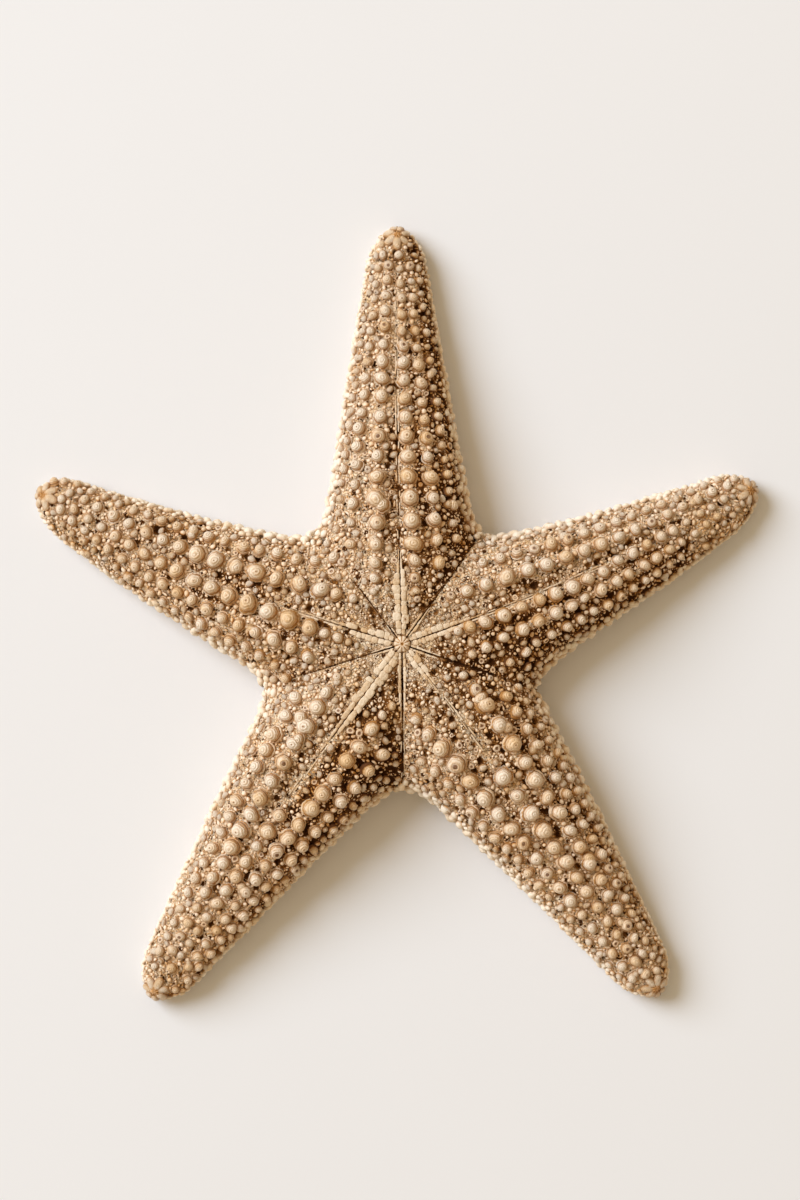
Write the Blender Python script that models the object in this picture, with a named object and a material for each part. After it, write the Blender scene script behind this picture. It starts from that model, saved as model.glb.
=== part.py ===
"""A dried five-armed starfish lying on its underside, seen from above with its tallest arm along +Y.

The animal dried as one piece, so it is one solid. Each arm is a skin of ribs: every rib starts on
the arm's crest, runs over the back to the outline, curls under to a flat land that rests on the
table, and ends in the furrow along the middle of the underside. The first rib of an arm lies in the
notch that it shares with its neighbour, and the last one runs over the tip. The knobs are domes
raised from that skin in rows along the arms. Lengths are in millimetres until the mesh is made.
"""

import math
from dataclasses import dataclass

import bmesh
import bpy
import numpy as np
from mathutils import Vector
from mathutils.geometry import delaunay_2d_cdt

NAME = "starfish"
METRES = 0.001

# Where the centre of the disc lies in the part's frame, which has the box's centre at its origin
DISC_CENTRE = (0.984, -5.752)
DISC_HEIGHT = 17.0
DISC_BLEND = 30.0

# Half width of an arm: it widens evenly from a blunt, rounded tip
TIP_HALF_WIDTH = 5.0
TAPER = 0.165
TIP_ROUNDING = 7.8
HEIGHT_PER_HALF_WIDTH = 1.13

# Section of a rib, from the crest over the widest point to the floor, as shares of height and reach
WIDEST_AT = 0.34
LAND_AT = 0.80
SQUARENESS = 2.2

# The furrow along the underside of each arm; the five meet at the mouth
FURROW_HALF_WIDTH = (3.2, 1.1)
FURROW_DEPTH = (4.6, 1.4)

# How far the first rib leans back to the disc centre, and how the last ones fan out over the tip
NOTCH_LEAN = 2.5
TIP_FAN = 5.6
TIP_FAN_POWER = 6.0

# Stations around a rib: crest 0, widest point, start of the land, edge of the furrow, furrow floor 1
V_WIDEST = 0.5
V_LAND = 0.68
V_FURROW = 0.86

# Knobs: they reach full size at a distance from the centre, and rise by a share of their diameter
KNOB_GROWTH = 0.14
KNOB_RISE = 0.42
LEAST_KNOB = 1.7
LEAST_ROUND_KNOB = 2.5

# Rings of a knob under its top, as a share of the radius and of the rise
ROUND_RINGS = ((1.0, -0.05), (0.64, 0.76))
SMALL_RINGS = ((0.88, 0.3),)

# Spacing of the plain skin points, and of the fine grid that they are picked from
LATTICE_STEP = 3.1
KNOB_CLEARANCE = 0.75
BORDER_CLEARANCE = 2.0
KNOB_MARGIN = 0.35
FINE_STEP = 0.45
V_COUNT = 67
LAND_STEP = 3.8
OUTLINE_STEP = 2.8

# Where the shared first rib has its points, outward from the crest and outward from the furrow floor
BACK_STATIONS = (0.0, 0.08, 0.16, 0.24, 0.33, 0.42, V_WIDEST, 0.56, 0.62, V_LAND)
FURROW_STATIONS = (1.0, 0.94, V_FURROW)
UNDER_STATIONS = (*FURROW_STATIONS, 0.77, V_LAND)

# Samples for the tables along an arm and for the length of a rib
RIB_TABLE = 800
RIB_SAMPLES = 25

# Points of two patches this close are one point, and edges sharper than this stay sharp
SAME_POINT = 2e-6
NET_TOLERANCE = 1e-6
SHARP_ANGLE = math.radians(50)

BONE = (0.69, 0.52, 0.35, 1.0)


@dataclass(frozen=True)
class Row:
    """A row of knobs that runs along an arm at a share of its half width, from disc to tip."""

    share: tuple
    diameter: tuple
    pitch: float


@dataclass(frozen=True)
class Arm:
    """One arm: which way it points, how long it is, how far it bows to its left, and its rows."""

    angle: float
    length: float
    bow: float
    rows: tuple


@dataclass(frozen=True)
class Notch:
    """The inner corner between two arms, as seen from the disc centre."""

    angle: float
    distance: float


ARMS = (
    Arm(90.7, 81.1, 0.4, (
        Row((0.88, 0.84), (1.6, 1.3), 1.9),
        Row((0.71, 0.61), (2.1, 1.5), 1.9),
        Row((0.36, 0.28), (3.2, 1.8), 1.55),
        Row((-0.23, -0.08), (3.1, 1.7), 1.6),
        Row((-0.56, -0.43), (2.4, 1.7), 1.8),
        Row((-0.80, -0.70), (1.7, 1.3), 1.9),
    )),
    Arm(157.4, 77.1, 2.4, (
        Row((0.83, 0.76), (1.9, 1.4), 1.8),
        Row((0.56, 0.46), (2.4, 1.8), 1.6),
        Row((0.20, 0.08), (3.1, 1.9), 1.55),
        Row((-0.41, -0.32), (2.9, 2.0), 1.6),
        Row((-0.76, -0.70), (2.1, 1.6), 1.8),
    )),
    Arm(-125.4, 84.6, -0.7, (
        Row((0.90, 0.84), (1.6, 1.4), 1.8),
        Row((0.68, 0.66), (2.3, 1.8), 1.8),
        Row((0.37, 0.42), (2.8, 1.8), 1.55),
        Row((0.02, 0.06), (3.2, 1.8), 1.55),
        Row((-0.44, -0.28), (3.1, 2.0), 1.5),
        Row((-0.72, -0.63), (2.4, 1.8), 1.7),
    )),
    Arm(-53.7, 84.9, 0.8, (
        Row((0.87, 0.82), (1.6, 1.3), 1.9),
        Row((0.68, 0.63), (2.1, 1.6), 1.9),
        Row((0.41, 0.33), (2.9, 1.9), 1.65),
        Row((0.02, -0.05), (3.5, 2.0), 1.5),
        Row((-0.45, -0.43), (2.9, 1.9), 1.6),
        Row((-0.73, -0.72), (1.9, 1.5), 1.9),
    )),
    Arm(23.8, 75.6, -1.8, (
        Row((0.74, 0.67), (2.0, 1.7), 1.8),
        Row((0.43, 0.38), (2.7, 1.9), 1.65),
        Row((-0.10, 0.0), (2.6, 1.7), 1.6),
        Row((-0.43, -0.38), (2.4, 1.6), 1.65),
        Row((-0.70, -0.70), (1.9, 1.4), 1.8),
    )),
)

# In the order of the arms: each notch lies to the left of its arm, so to the right of the next one
NOTCHES = (
    Notch(127.5, 27.8),
    Notch(197.5, 28.5),
    Notch(270.5, 28.7),
    Notch(341.2, 27.8),
    Notch(54.0, 26.9),
)


class ArmSkin:
    """The skin of one arm as a function of a, the distance of a rib's foot from the disc centre,
    and v, from -1 to 1: the place around the rib, negative to the arm's right."""

    def __init__(self, arm, left_notch, right_notch):
        """Tabulates, for each side, which outline station belongs to which rib foot."""
        self.arm = arm
        self.heading = math.radians(arm.angle)
        self.reach = arm.length - TIP_FAN
        self.outline = {}
        for side, notch in ((1, left_notch), (-1, right_notch)):
            between = abs(math.remainder(math.radians(notch.angle) - self.heading, math.tau))
            start = notch.distance * math.cos(between)
            half = notch.distance * math.sin(between) - side * self.bend(start)
            flare = half - self.even_half_width(start)
            fade = flare / (1 / math.tan(between) - TAPER)
            along = np.linspace(0, 1, RIB_TABLE)
            station = start + (arm.length - start) * (1 - (1 - along) ** 2)
            done = (station - start) / (arm.length - start)
            foot = station - start * (1 - done) ** NOTCH_LEAN - TIP_FAN * done**TIP_FAN_POWER
            wide = self.half_width(station) + flare * np.exp((start - station) / fade)
            wide[-1] = 0.0
            self.outline[side] = (foot, station, self.bend(station) + side * wide)

    def bend(self, station):
        """Sideways bow of the centreline: a parabola that is zero at the centre and the tip."""
        t = station / self.arm.length
        return self.arm.bow * 4 * t * (1 - t)

    def even_half_width(self, station):
        """Half width without the rounding of the tip."""
        return TIP_HALF_WIDTH + TAPER * (self.arm.length - station)

    def half_width(self, station):
        """Half width of the outline, closed at the tip by an ellipse."""
        t = np.clip((self.arm.length - station) / TIP_ROUNDING, 0, 1)
        return self.even_half_width(station) * np.sqrt(1 - (1 - t) ** 2)

    def crest_height(self, a):
        """Height of the crest, eased to the same height in every arm at the disc centre."""
        plain = HEIGHT_PER_HALF_WIDTH * self.even_half_width(a)
        at_centre = HEIGHT_PER_HALF_WIDTH * self.even_half_width(0.0)
        ease = np.clip(1 - a / DISC_BLEND, 0, 1) ** 2
        return plain + (DISC_HEIGHT - at_centre) * ease

    def along_arm(self, pair, a):
        """A value that changes evenly from the disc to the tip."""
        return pair[0] + (pair[1] - pair[0]) * a / self.reach

    def edge(self, a, side):
        """Where the rib with its foot at a meets the outline, on one side, in the arm's own axes."""
        feet, stations, offsets = self.outline[side]
        station = np.interp(a, feet, stations)
        return np.stack([station, np.interp(station, stations, offsets)])

    def ribs(self, a, v):
        """The foot of each rib, and the step from there to the outline, in the arm's own axes."""
        foot = np.stack([a, self.bend(a)])
        return foot, np.where(v >= 0, self.edge(a, 1), self.edge(a, -1)) - foot

    def points(self, a, v):
        """Skin points for arrays a and v, in millimetres from the disc centre."""
        a, v = np.broadcast_arrays(np.asarray(a, float), np.asarray(v, float))
        foot, rib = self.ribs(a, v)
        length = np.hypot(rib[0], rib[1])
        height = self.crest_height(a)
        widest = WIDEST_AT * height
        w = np.abs(v)
        over = np.clip(w / V_WIDEST, 0, 1) * math.pi / 2
        under = np.clip((w - V_WIDEST) / (V_LAND - V_WIDEST), 0, 1) * math.pi / 2
        furrow = np.minimum(self.along_arm(FURROW_HALF_WIDTH, a) / length, LAND_AT / 2)
        land = np.clip((w - V_LAND) / (V_FURROW - V_LAND), 0, 1)
        inside = np.clip((w - V_FURROW) / (1 - V_FURROW), 0, 1)
        power = 2 / SQUARENESS
        share = np.where(
            w <= V_WIDEST,
            np.sin(over) ** power,
            LAND_AT + (1 - LAND_AT) * np.cos(under) - land * (LAND_AT - furrow) - inside * furrow,
        )
        z = np.where(
            w <= V_WIDEST,
            widest + (height - widest) * np.abs(np.cos(over)) ** power,
            widest * (1 - np.sin(under)) + self.along_arm(FURROW_DEPTH, a) * (1 - (1 - inside) ** 2),
        )
        x, y = foot + rib * share
        c, s = math.cos(self.heading), math.sin(self.heading)
        return np.stack([c * x - s * y, s * x + c * y, z], axis=-1)

    def unrolled(self, a, v):
        """The back laid out flat: every rib runs straight out from its foot at its full length."""
        foot, rib = self.ribs(a, v)
        line = self.points(a[:, None], v[:, None] * np.linspace(0, 1, RIB_SAMPLES))
        length = np.linalg.norm(np.diff(line, axis=1), axis=2).sum(axis=1)
        return (foot + rib / np.hypot(rib[0], rib[1]) * length).T

    def slopes(self, a, v, step=1e-3):
        """Derivatives of the skin along a and along v, by central differences inside the chart."""
        low, high = max(a - step, 0), min(a + step, self.reach)
        by_a = (self.points(high, v) - self.points(low, v)) / (high - low)
        by_v = (self.points(a, v + step) - self.points(a, v - step)) / (2 * step)
        return by_a, by_v

    def normal(self, a, v):
        """Unit normal that points out of the animal."""
        by_a, by_v = self.slopes(a, v)
        n = np.cross(by_a, by_v)
        return n / np.linalg.norm(n)


def v_of_share(share):
    """The station around a rib whose reach is this share of the half width, on the back."""
    angle = math.asin(abs(share) ** (SQUARENESS / 2))
    return math.copysign(angle / (math.pi / 2) * V_WIDEST, share)


def row_knobs(skin, row):
    """(a, v, diameter) of each knob in a row, spaced by its own size along the row's line."""
    a = np.linspace(0, skin.reach, RIB_TABLE)
    v = np.array([v_of_share(s) for s in np.interp(a, (0, skin.reach), row.share)])
    line = skin.points(a, v)
    travelled = np.concatenate([[0], np.cumsum(np.linalg.norm(np.diff(line, axis=0), axis=1))])
    from_centre = np.hypot(line[:, 0], line[:, 1])
    size = np.minimum(KNOB_GROWTH * from_centre, np.interp(a, (0, skin.reach), row.diameter))
    knobs, place = [], 0.0
    while place < travelled[-1]:
        diameter = float(np.interp(place, travelled, size))
        if diameter >= LEAST_KNOB:
            knobs.append((*(float(np.interp(place, travelled, way)) for way in (a, v)), diameter))
        place += max(diameter * row.pitch, LEAST_KNOB)
    return knobs


def raised_points(skin, a, v, diameter):
    """A knob as chart points with a height each: the top, a ring at its foot, and a shoulder ring.

    A ring is round on the skin, so each offset in the tangent plane is solved for its steps in a and v.
    """
    by_a, by_v = skin.slopes(a, v)
    chart_axes = np.stack([by_a, by_v], axis=1)
    along = by_v / np.linalg.norm(by_v)
    across = np.cross(skin.normal(a, v), along)
    radius, rise = diameter / 2, KNOB_RISE * diameter
    sides, rings = (6, ROUND_RINGS) if diameter >= LEAST_ROUND_KNOB else (5, SMALL_RINGS)
    made = [(a, v, rise)]
    for turn, (out, up) in enumerate(rings):
        for k in range(sides):
            angle = math.tau * (k + turn / 2) / sides
            offset = radius * out * (math.cos(angle) * along + math.sin(angle) * across)
            step = np.linalg.lstsq(chart_axes, offset, rcond=None)[0]
            made.append((a + step[0], v + step[1], rise * up))
    return made


def back_lattice(skin, centres, taken):
    """Plain points on the back and flanks, an even distance from each other, the knobs and the border."""
    a = np.linspace(0, skin.reach, round(skin.reach / FINE_STEP))
    v = np.linspace(-V_LAND, V_LAND, V_COUNT)
    chart = np.array([(x, y) for x in a[1:-1] for y in v])
    points = skin.points(chart[:, 0], chart[:, 1])
    free = np.ones(len(chart), bool)
    for centre, diameter in centres:
        free &= np.linalg.norm(points - centre, axis=1) > 0.5 * diameter + KNOB_CLEARANCE
    for corner in skin.points(taken[:, 0], taken[:, 1]):
        free &= np.linalg.norm(points - corner, axis=1) > BORDER_CLEARANCE
    made = []
    while free.any():
        first = int(np.argmax(free))
        made.append((*chart[first], 0.0))
        free &= np.linalg.norm(points - points[first], axis=1) > LATTICE_STEP
    return made


def steps_along(skin, v, step):
    """Rib feet at even steps along the line of one v, also where that line turns round the tip."""
    a = np.linspace(0, skin.reach, RIB_TABLE)
    line = skin.points(a, v)
    travelled = np.concatenate([[0], np.cumsum(np.linalg.norm(np.diff(line, axis=0), axis=1))])
    wanted = np.linspace(0, travelled[-1], round(travelled[-1] / step) + 1)
    return [float(a) for a in np.interp(wanted, travelled, a)]


def border(steps, stations):
    """The closed loop round the back or the underside of an arm, as (a, v) from the disc centre."""
    left = [(0.0, v) for v in stations] + [(a, V_LAND) for a in steps[1:]]
    right = [(a, -V_LAND) for a in steps[1:-1]][::-1]
    return left + right + [(0.0, -v) for v in stations[1:]][::-1]


def net(flat, loop, creases):
    """Triangles of a Delaunay net inside the loop, with an edge along every step of the creases."""
    edges = [pair for crease in creases for pair in zip(crease, crease[1:])]
    return delaunay_2d_cdt([Vector(p) for p in flat], edges, [list(range(loop))], 1, NET_TOLERANCE)[2]


def back_patch(skin, steps):
    """(points, triangles) of an arm's back and flanks, with its knobs."""
    knobs = [knob for row in skin.arm.rows for knob in row_knobs(skin, row)]
    kept, centres = [], []
    for a, v, diameter in sorted(knobs, key=lambda knob: -knob[2]):
        centre = skin.points(a, v)
        clear = all(np.linalg.norm(centre - c) > 0.5 * (diameter + d) for c, d in centres)
        points = raised_points(skin, a, v, diameter)
        inside = all(KNOB_MARGIN < p[0] < skin.reach - KNOB_MARGIN and abs(p[1]) < V_LAND for p in points)
        if clear and inside:
            kept.append(points)
            centres.append((centre, diameter))
    loop = border(steps, BACK_STATIONS)
    outline = [(a, v) for v in (V_WIDEST, -V_WIDEST) for a in steps_along(skin, v, OUTLINE_STEP)[1:-1]]
    fixed = loop + outline + [(skin.reach, v) for v in BACK_STATIONS[:-1]]
    plain = back_lattice(skin, centres, np.array(fixed))
    chart = np.array([(a, v, 0.0) for a, v in fixed] + [p for knob in kept for p in knob] + plain)
    points = skin.points(chart[:, 0], chart[:, 1])
    for i in np.flatnonzero(chart[:, 2]):
        points[i] += skin.normal(chart[i, 0], chart[i, 1]) * chart[i, 2]
    return points, net(skin.unrolled(chart[:, 0], chart[:, 1]), len(loop), [])


def under_patch(skin, steps):
    """(points, triangles) of an arm's underside: the flat land, and the furrow with its floor.

    The furrow's lines run out along the arm's left, meet the ones of its right at the tip, and stay edges.
    """
    chart = border(steps, UNDER_STATIONS)
    loop = len(chart)
    creases = []
    for v in FURROW_STATIONS:
        start = len(chart)
        chart += [(a, v) for a in steps[1:]]
        tip = len(chart) - 1
        creases.append([chart.index((0.0, v)), *range(start, tip + 1)])
        if v < 1:
            chart += [(a, -v) for a in steps[1:-1]]
            creases.append([chart.index((0.0, -v)), *range(tip + 1, len(chart)), tip])
    chart = np.array(chart)
    points = skin.points(chart[:, 0], chart[:, 1])
    return points, net(points[:, :2], loop, creases)


def make_starfish():
    """Joins the back and underside of the five arms along their borders into one closed mesh object."""
    bm = bmesh.new()
    for i, arm in enumerate(ARMS):
        skin = ArmSkin(arm, NOTCHES[i], NOTCHES[i - 1])
        steps = steps_along(skin, V_LAND, LAND_STEP)
        for points, triangles in (back_patch(skin, steps), under_patch(skin, steps)):
            placed = (points + (*DISC_CENTRE, 0.0)) * METRES
            verts = [bm.verts.new(p) for p in placed]
            for triangle in triangles:
                bm.faces.new([verts[k] for k in triangle])
    bmesh.ops.remove_doubles(bm, verts=bm.verts, dist=SAME_POINT)
    bmesh.ops.recalc_face_normals(bm, faces=bm.faces)
    mesh = bpy.data.meshes.new(NAME)
    bm.to_mesh(mesh)
    bm.free()
    mesh.shade_smooth()
    mesh.set_sharp_from_angle(angle=SHARP_ANGLE)
    return bpy.data.objects.new(NAME, mesh)


def bone_material():
    """Dry, matt, sandy limestone of the animal's plates."""
    material = bpy.data.materials.new("dry_bone")
    material.use_nodes = True
    shader = material.node_tree.nodes["Principled BSDF"]
    shader.inputs["Base Color"].default_value = BONE
    shader.inputs["Roughness"].default_value = 0.7
    return material


def main():
    """Clears the scene and builds the one solid in its collection."""
    for obj in list(bpy.data.objects):
        bpy.data.objects.remove(obj)
    collection = bpy.data.collections.new(NAME)
    bpy.context.scene.collection.children.link(collection)
    starfish = make_starfish()
    starfish.data.materials.append(bone_material())
    collection.objects.link(starfish)


main()
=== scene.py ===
"""The looks of a dried starfish: skin, knobs, granules, grains, seams, tip plates and furrow spines.

Lengths are millimetres from the centre of the disc until a mesh is made. The skin of each arm is a
function of a, the place of a rib's foot along the arm, and v, the place round the rib from -1 to 1.
"""

import logging
import math
from dataclasses import dataclass, field, fields
from enum import Enum

import bmesh
import bpy
import numpy as np
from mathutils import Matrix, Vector
from mathutils.kdtree import KDTree


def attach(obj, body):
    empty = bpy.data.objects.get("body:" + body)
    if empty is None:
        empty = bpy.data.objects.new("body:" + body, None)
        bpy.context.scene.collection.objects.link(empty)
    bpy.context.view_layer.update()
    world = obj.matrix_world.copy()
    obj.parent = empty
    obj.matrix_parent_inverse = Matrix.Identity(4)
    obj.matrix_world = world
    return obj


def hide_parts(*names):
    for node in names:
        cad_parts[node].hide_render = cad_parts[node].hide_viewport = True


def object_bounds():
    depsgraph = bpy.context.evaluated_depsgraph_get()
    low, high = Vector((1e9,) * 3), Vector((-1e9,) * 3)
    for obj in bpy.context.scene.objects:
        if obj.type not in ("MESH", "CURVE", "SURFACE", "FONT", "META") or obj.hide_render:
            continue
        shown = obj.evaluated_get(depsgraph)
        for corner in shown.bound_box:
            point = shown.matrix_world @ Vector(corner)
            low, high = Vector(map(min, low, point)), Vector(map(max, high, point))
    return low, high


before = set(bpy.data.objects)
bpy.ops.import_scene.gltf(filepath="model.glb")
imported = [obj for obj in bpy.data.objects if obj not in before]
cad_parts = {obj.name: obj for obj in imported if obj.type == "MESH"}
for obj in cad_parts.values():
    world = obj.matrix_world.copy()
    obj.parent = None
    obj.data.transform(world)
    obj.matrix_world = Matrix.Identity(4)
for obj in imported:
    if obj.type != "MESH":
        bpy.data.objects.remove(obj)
CAD_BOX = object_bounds()

LOG = logging.getLogger("starfish")
Array = np.ndarray
Colour = tuple[float, float, float, float]

BODY = "root"
NODE = "starfish"
METRES = 0.001
SEED = 20

DISC_CENTRE = (0.984, -5.752)
DISC_HEIGHT = 17.0
DISC_BLEND = 30.0
TIP_HALF_WIDTH = 5.0
TAPER = 0.165
TIP_ROUNDING = 7.8
HEIGHT_PER_HALF_WIDTH = 1.13
WIDEST_AT = 0.34
LAND_AT = 0.80
POWER = 2 / 2.2
FURROW_HALF_WIDTH = (3.2, 1.1)
FURROW_DEPTH = (4.6, 1.4)
NOTCH_LEAN = 2.5
TIP_FAN = 5.6
TIP_FAN_POWER = 6.0
V_WIDEST = 0.5
V_LAND = 0.68
V_FURROW = 0.86
RIB_TABLE = 800
KNOB_GROWTH = 0.14
LEAST_STEP = 1.7
# The side the key lamp shines from, as east and north. Skin and knobs turned toward it are painted paler, as
# painted light, and those turned away are painted darker, as painted shade.
KEY_LIGHT_SIDE = (-0.87, 0.5)
OFF_THE_FLOOR = 0.01
TIP_SHRINK = 0.45
CRACK_EDGES = (0.04, 0.16)
CRACK_SHAKE = 0.12
CRACK_FADE = 5.0
CRATER_SHARE = 0.22
CRATER_DEPTH = 0.34
# A mark darkens a knob's top: the spot in a crater's hollow and inside a ring crater is painted shade, and a
# prick is the knob's own dark mark.
CRATER_MARK = 0.15
RING_MARK = 0.42
PRICK_MARK = (0.030, 0.060)
MERGE_WITHIN = 2e-6


def smooth(low: float, high: float, x: Array) -> Array:
    """An eased step: 0 below low, 1 above high, and 3t^2 - 2t^3 between."""
    t = np.clip((x - low) / (high - low), 0, 1)
    return t * t * (3 - 2 * t)


def unit(vectors: Array) -> Array:
    """The vectors at length 1."""
    return vectors / np.maximum(np.linalg.norm(vectors, axis=-1, keepdims=True), 1e-12)


def flattened(vectors: Array, normal: Array) -> Array:
    """The vectors less what they have along the normal."""
    return vectors - normal * np.sum(vectors * normal, axis=1, keepdims=True)


def travelled(line: Array) -> Array:
    """The way travelled along a line of points, up to each of them."""
    return np.concatenate([[0], np.cumsum(np.linalg.norm(np.diff(line, axis=0), axis=1))])


def lattice_random(cells: Array, seed: int) -> Array:
    """A fixed random number from 0 to 1 for each whole-number cell.

    The three numbers times large primes are mixed by shifts and exclusive ors.

    Args:
        cells: whole numbers, one row of three for each cell.
        seed: which set of random numbers.

    Returns:
        One number for each row.
    """
    low_bits = np.uint64(0xFFFFFFFF)
    mixed = (cells[:, 0] * 73856093) ^ (cells[:, 1] * 19349663) ^ (cells[:, 2] * 83492791)
    mixed = (mixed ^ (seed * 2654435761)).astype(np.uint64) & low_bits
    for _ in range(2):
        mixed = ((mixed ^ (mixed >> np.uint64(16))) * np.uint64(0x45D9F3B)) & low_bits
    return ((mixed ^ (mixed >> np.uint64(16))) & low_bits) / float(0xFFFFFFFF)


def cloud(points: Array, cell: float, seed: int) -> Array:
    """Smooth random values: every corner of a cube has a random number, and a point takes their eased mix.

    Args:
        points: places in millimetres, one row each.
        cell: side of a cube in millimetres.
        seed: which set of random numbers.

    Returns:
        One value from 0 to 1 for each point.
    """
    scaled = points / cell
    base = np.floor(scaled).astype(np.int64)
    part = scaled - base
    ease = part * part * (3 - 2 * part)
    total = np.zeros(len(points))
    for corner in np.ndindex(2, 2, 2):
        weight = np.prod(np.where(corner, ease, 1 - ease), axis=1)
        total += weight * lattice_random(base + np.array(corner), seed)
    return total


def hollows(points: Array, cell: float, radius: float, seed: int) -> Array:
    """Round pits: 1 at the middle of a pit, falling as 1 - (distance / radius)^2 to 0 at its rim.

    Every cube of the given side has one pit at a random place in it.

    Args:
        points: places in millimetres, one row each.
        cell: side of a cube in millimetres.
        radius: radius of a pit in millimetres.
        seed: which set of random numbers.

    Returns:
        One depth from 0 to 1 for each point.
    """
    base = np.floor(points / cell).astype(np.int64)
    nearest = np.full(len(points), np.inf)
    for shift in np.ndindex(3, 3, 3):
        cells = base + np.array(shift) - 1
        place = np.stack([lattice_random(cells, seed + k) for k in range(3)], axis=1)
        nearest = np.minimum(nearest, np.linalg.norm((cells + place) * cell - points, axis=1))
    return np.clip(1 - (nearest / radius) ** 2, 0, 1)


def pits_at(points: Array) -> Array:
    """Depth of the open pits of the back, wide and narrow ones, least deep near the disc centre.

    Args:
        points: places on the smooth skin, one row each.

    Returns:
        One depth from 0 to 1 for each point.
    """
    from_centre = smooth(6, 26, np.hypot(points[:, 0], points[:, 1]))
    wide, narrow = hollows(points, 2.5, 0.85, 7), hollows(points, 1.7, 0.50, 8)
    return np.maximum(wide, 0.85 * narrow) * (0.70 + 0.30 * from_centre)


def share_of_v(v: Array) -> Array:
    """How far out a back station lies, as a signed share of its rib: sin of the angle, to a power."""
    over = np.clip(np.abs(v) / V_WIDEST, 0, 1) * math.pi / 2
    return np.sign(v) * np.sin(over) ** POWER


def v_of_share(share: Array) -> Array:
    """The back station that lies at a signed share of its rib, the inverse of share_of_v."""
    angle = np.arcsin(np.clip(np.abs(share), 0, 1) ** (1 / POWER))
    return np.sign(share) * angle / (math.pi / 2) * V_WIDEST


@dataclass(frozen=True)
class Row:
    """A row of knobs along an arm: share of the half width, diameter and pitch, disc end first."""

    share: tuple[float, float]
    diameter: tuple[float, float]
    pitch: float


@dataclass(frozen=True)
class Arm:
    """One arm: where it points, its length, how far it bows to its left, and its rows."""

    name: str
    angle: float
    length: float
    bow: float
    rows: tuple[Row, ...]


@dataclass(frozen=True)
class Notch:
    """The inner corner between two arms, as seen from the disc centre."""

    angle: float
    distance: float


ARMS = (
    Arm("top", 90.7, 81.1, 0.4, (
        Row((0.88, 0.84), (1.6, 1.3), 1.9), Row((0.71, 0.61), (2.1, 1.5), 1.9),
        Row((0.36, 0.28), (3.2, 1.8), 1.55), Row((-0.23, -0.08), (3.1, 1.7), 1.6),
        Row((-0.56, -0.43), (2.4, 1.7), 1.8), Row((-0.80, -0.70), (1.7, 1.3), 1.9))),
    Arm("left", 157.4, 77.1, 2.4, (
        Row((0.83, 0.76), (1.9, 1.4), 1.8), Row((0.56, 0.46), (2.4, 1.8), 1.6),
        Row((0.20, 0.08), (3.1, 1.9), 1.55), Row((-0.41, -0.32), (2.9, 2.0), 1.6),
        Row((-0.76, -0.70), (2.1, 1.6), 1.8))),
    Arm("lower_left", -125.4, 84.6, -0.7, (
        Row((0.90, 0.84), (1.6, 1.4), 1.8), Row((0.68, 0.66), (2.3, 1.8), 1.8),
        Row((0.37, 0.42), (2.8, 1.8), 1.55), Row((0.02, 0.06), (3.2, 1.8), 1.55),
        Row((-0.44, -0.28), (3.1, 2.0), 1.5), Row((-0.72, -0.63), (2.4, 1.8), 1.7))),
    Arm("lower_right", -53.7, 84.9, 0.8, (
        Row((0.87, 0.82), (1.6, 1.3), 1.9), Row((0.68, 0.63), (2.1, 1.6), 1.9),
        Row((0.41, 0.33), (2.9, 1.9), 1.65), Row((0.02, -0.05), (3.5, 2.0), 1.5),
        Row((-0.45, -0.43), (2.9, 1.9), 1.6), Row((-0.73, -0.72), (1.9, 1.5), 1.9))),
    Arm("right", 23.8, 75.6, -1.8, (
        Row((0.74, 0.67), (2.0, 1.7), 1.8), Row((0.43, 0.38), (2.7, 1.9), 1.65),
        Row((-0.10, 0.0), (2.6, 1.7), 1.6), Row((-0.43, -0.38), (2.4, 1.6), 1.65),
        Row((-0.70, -0.70), (1.9, 1.4), 1.8))),
)
NOTCHES = (Notch(127.5, 27.8), Notch(197.5, 28.5), Notch(270.5, 28.7), Notch(341.2, 27.8), Notch(54.0, 26.9))


@dataclass
class Seats:
    """Places on the skin, one row each: the point, its three directions, the size of what sits there,
    and where it lies on its arm."""

    point: Array
    normal: Array
    along: Array
    across: Array
    size: Array
    a: Array
    v: Array
    arm: Array

    def __len__(self) -> int:
        """How many places there are."""
        return len(self.point)

    def pick(self, chosen: Array) -> "Seats":
        """The chosen places, by mask or by number."""
        return Seats(*(getattr(self, f.name)[chosen] for f in fields(self)))

    @staticmethod
    def join(parts: list["Seats"]) -> "Seats":
        """All the places of several sets, in order."""
        return Seats(*(np.concatenate([getattr(p, f.name) for p in parts]) for f in fields(Seats)))


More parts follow.
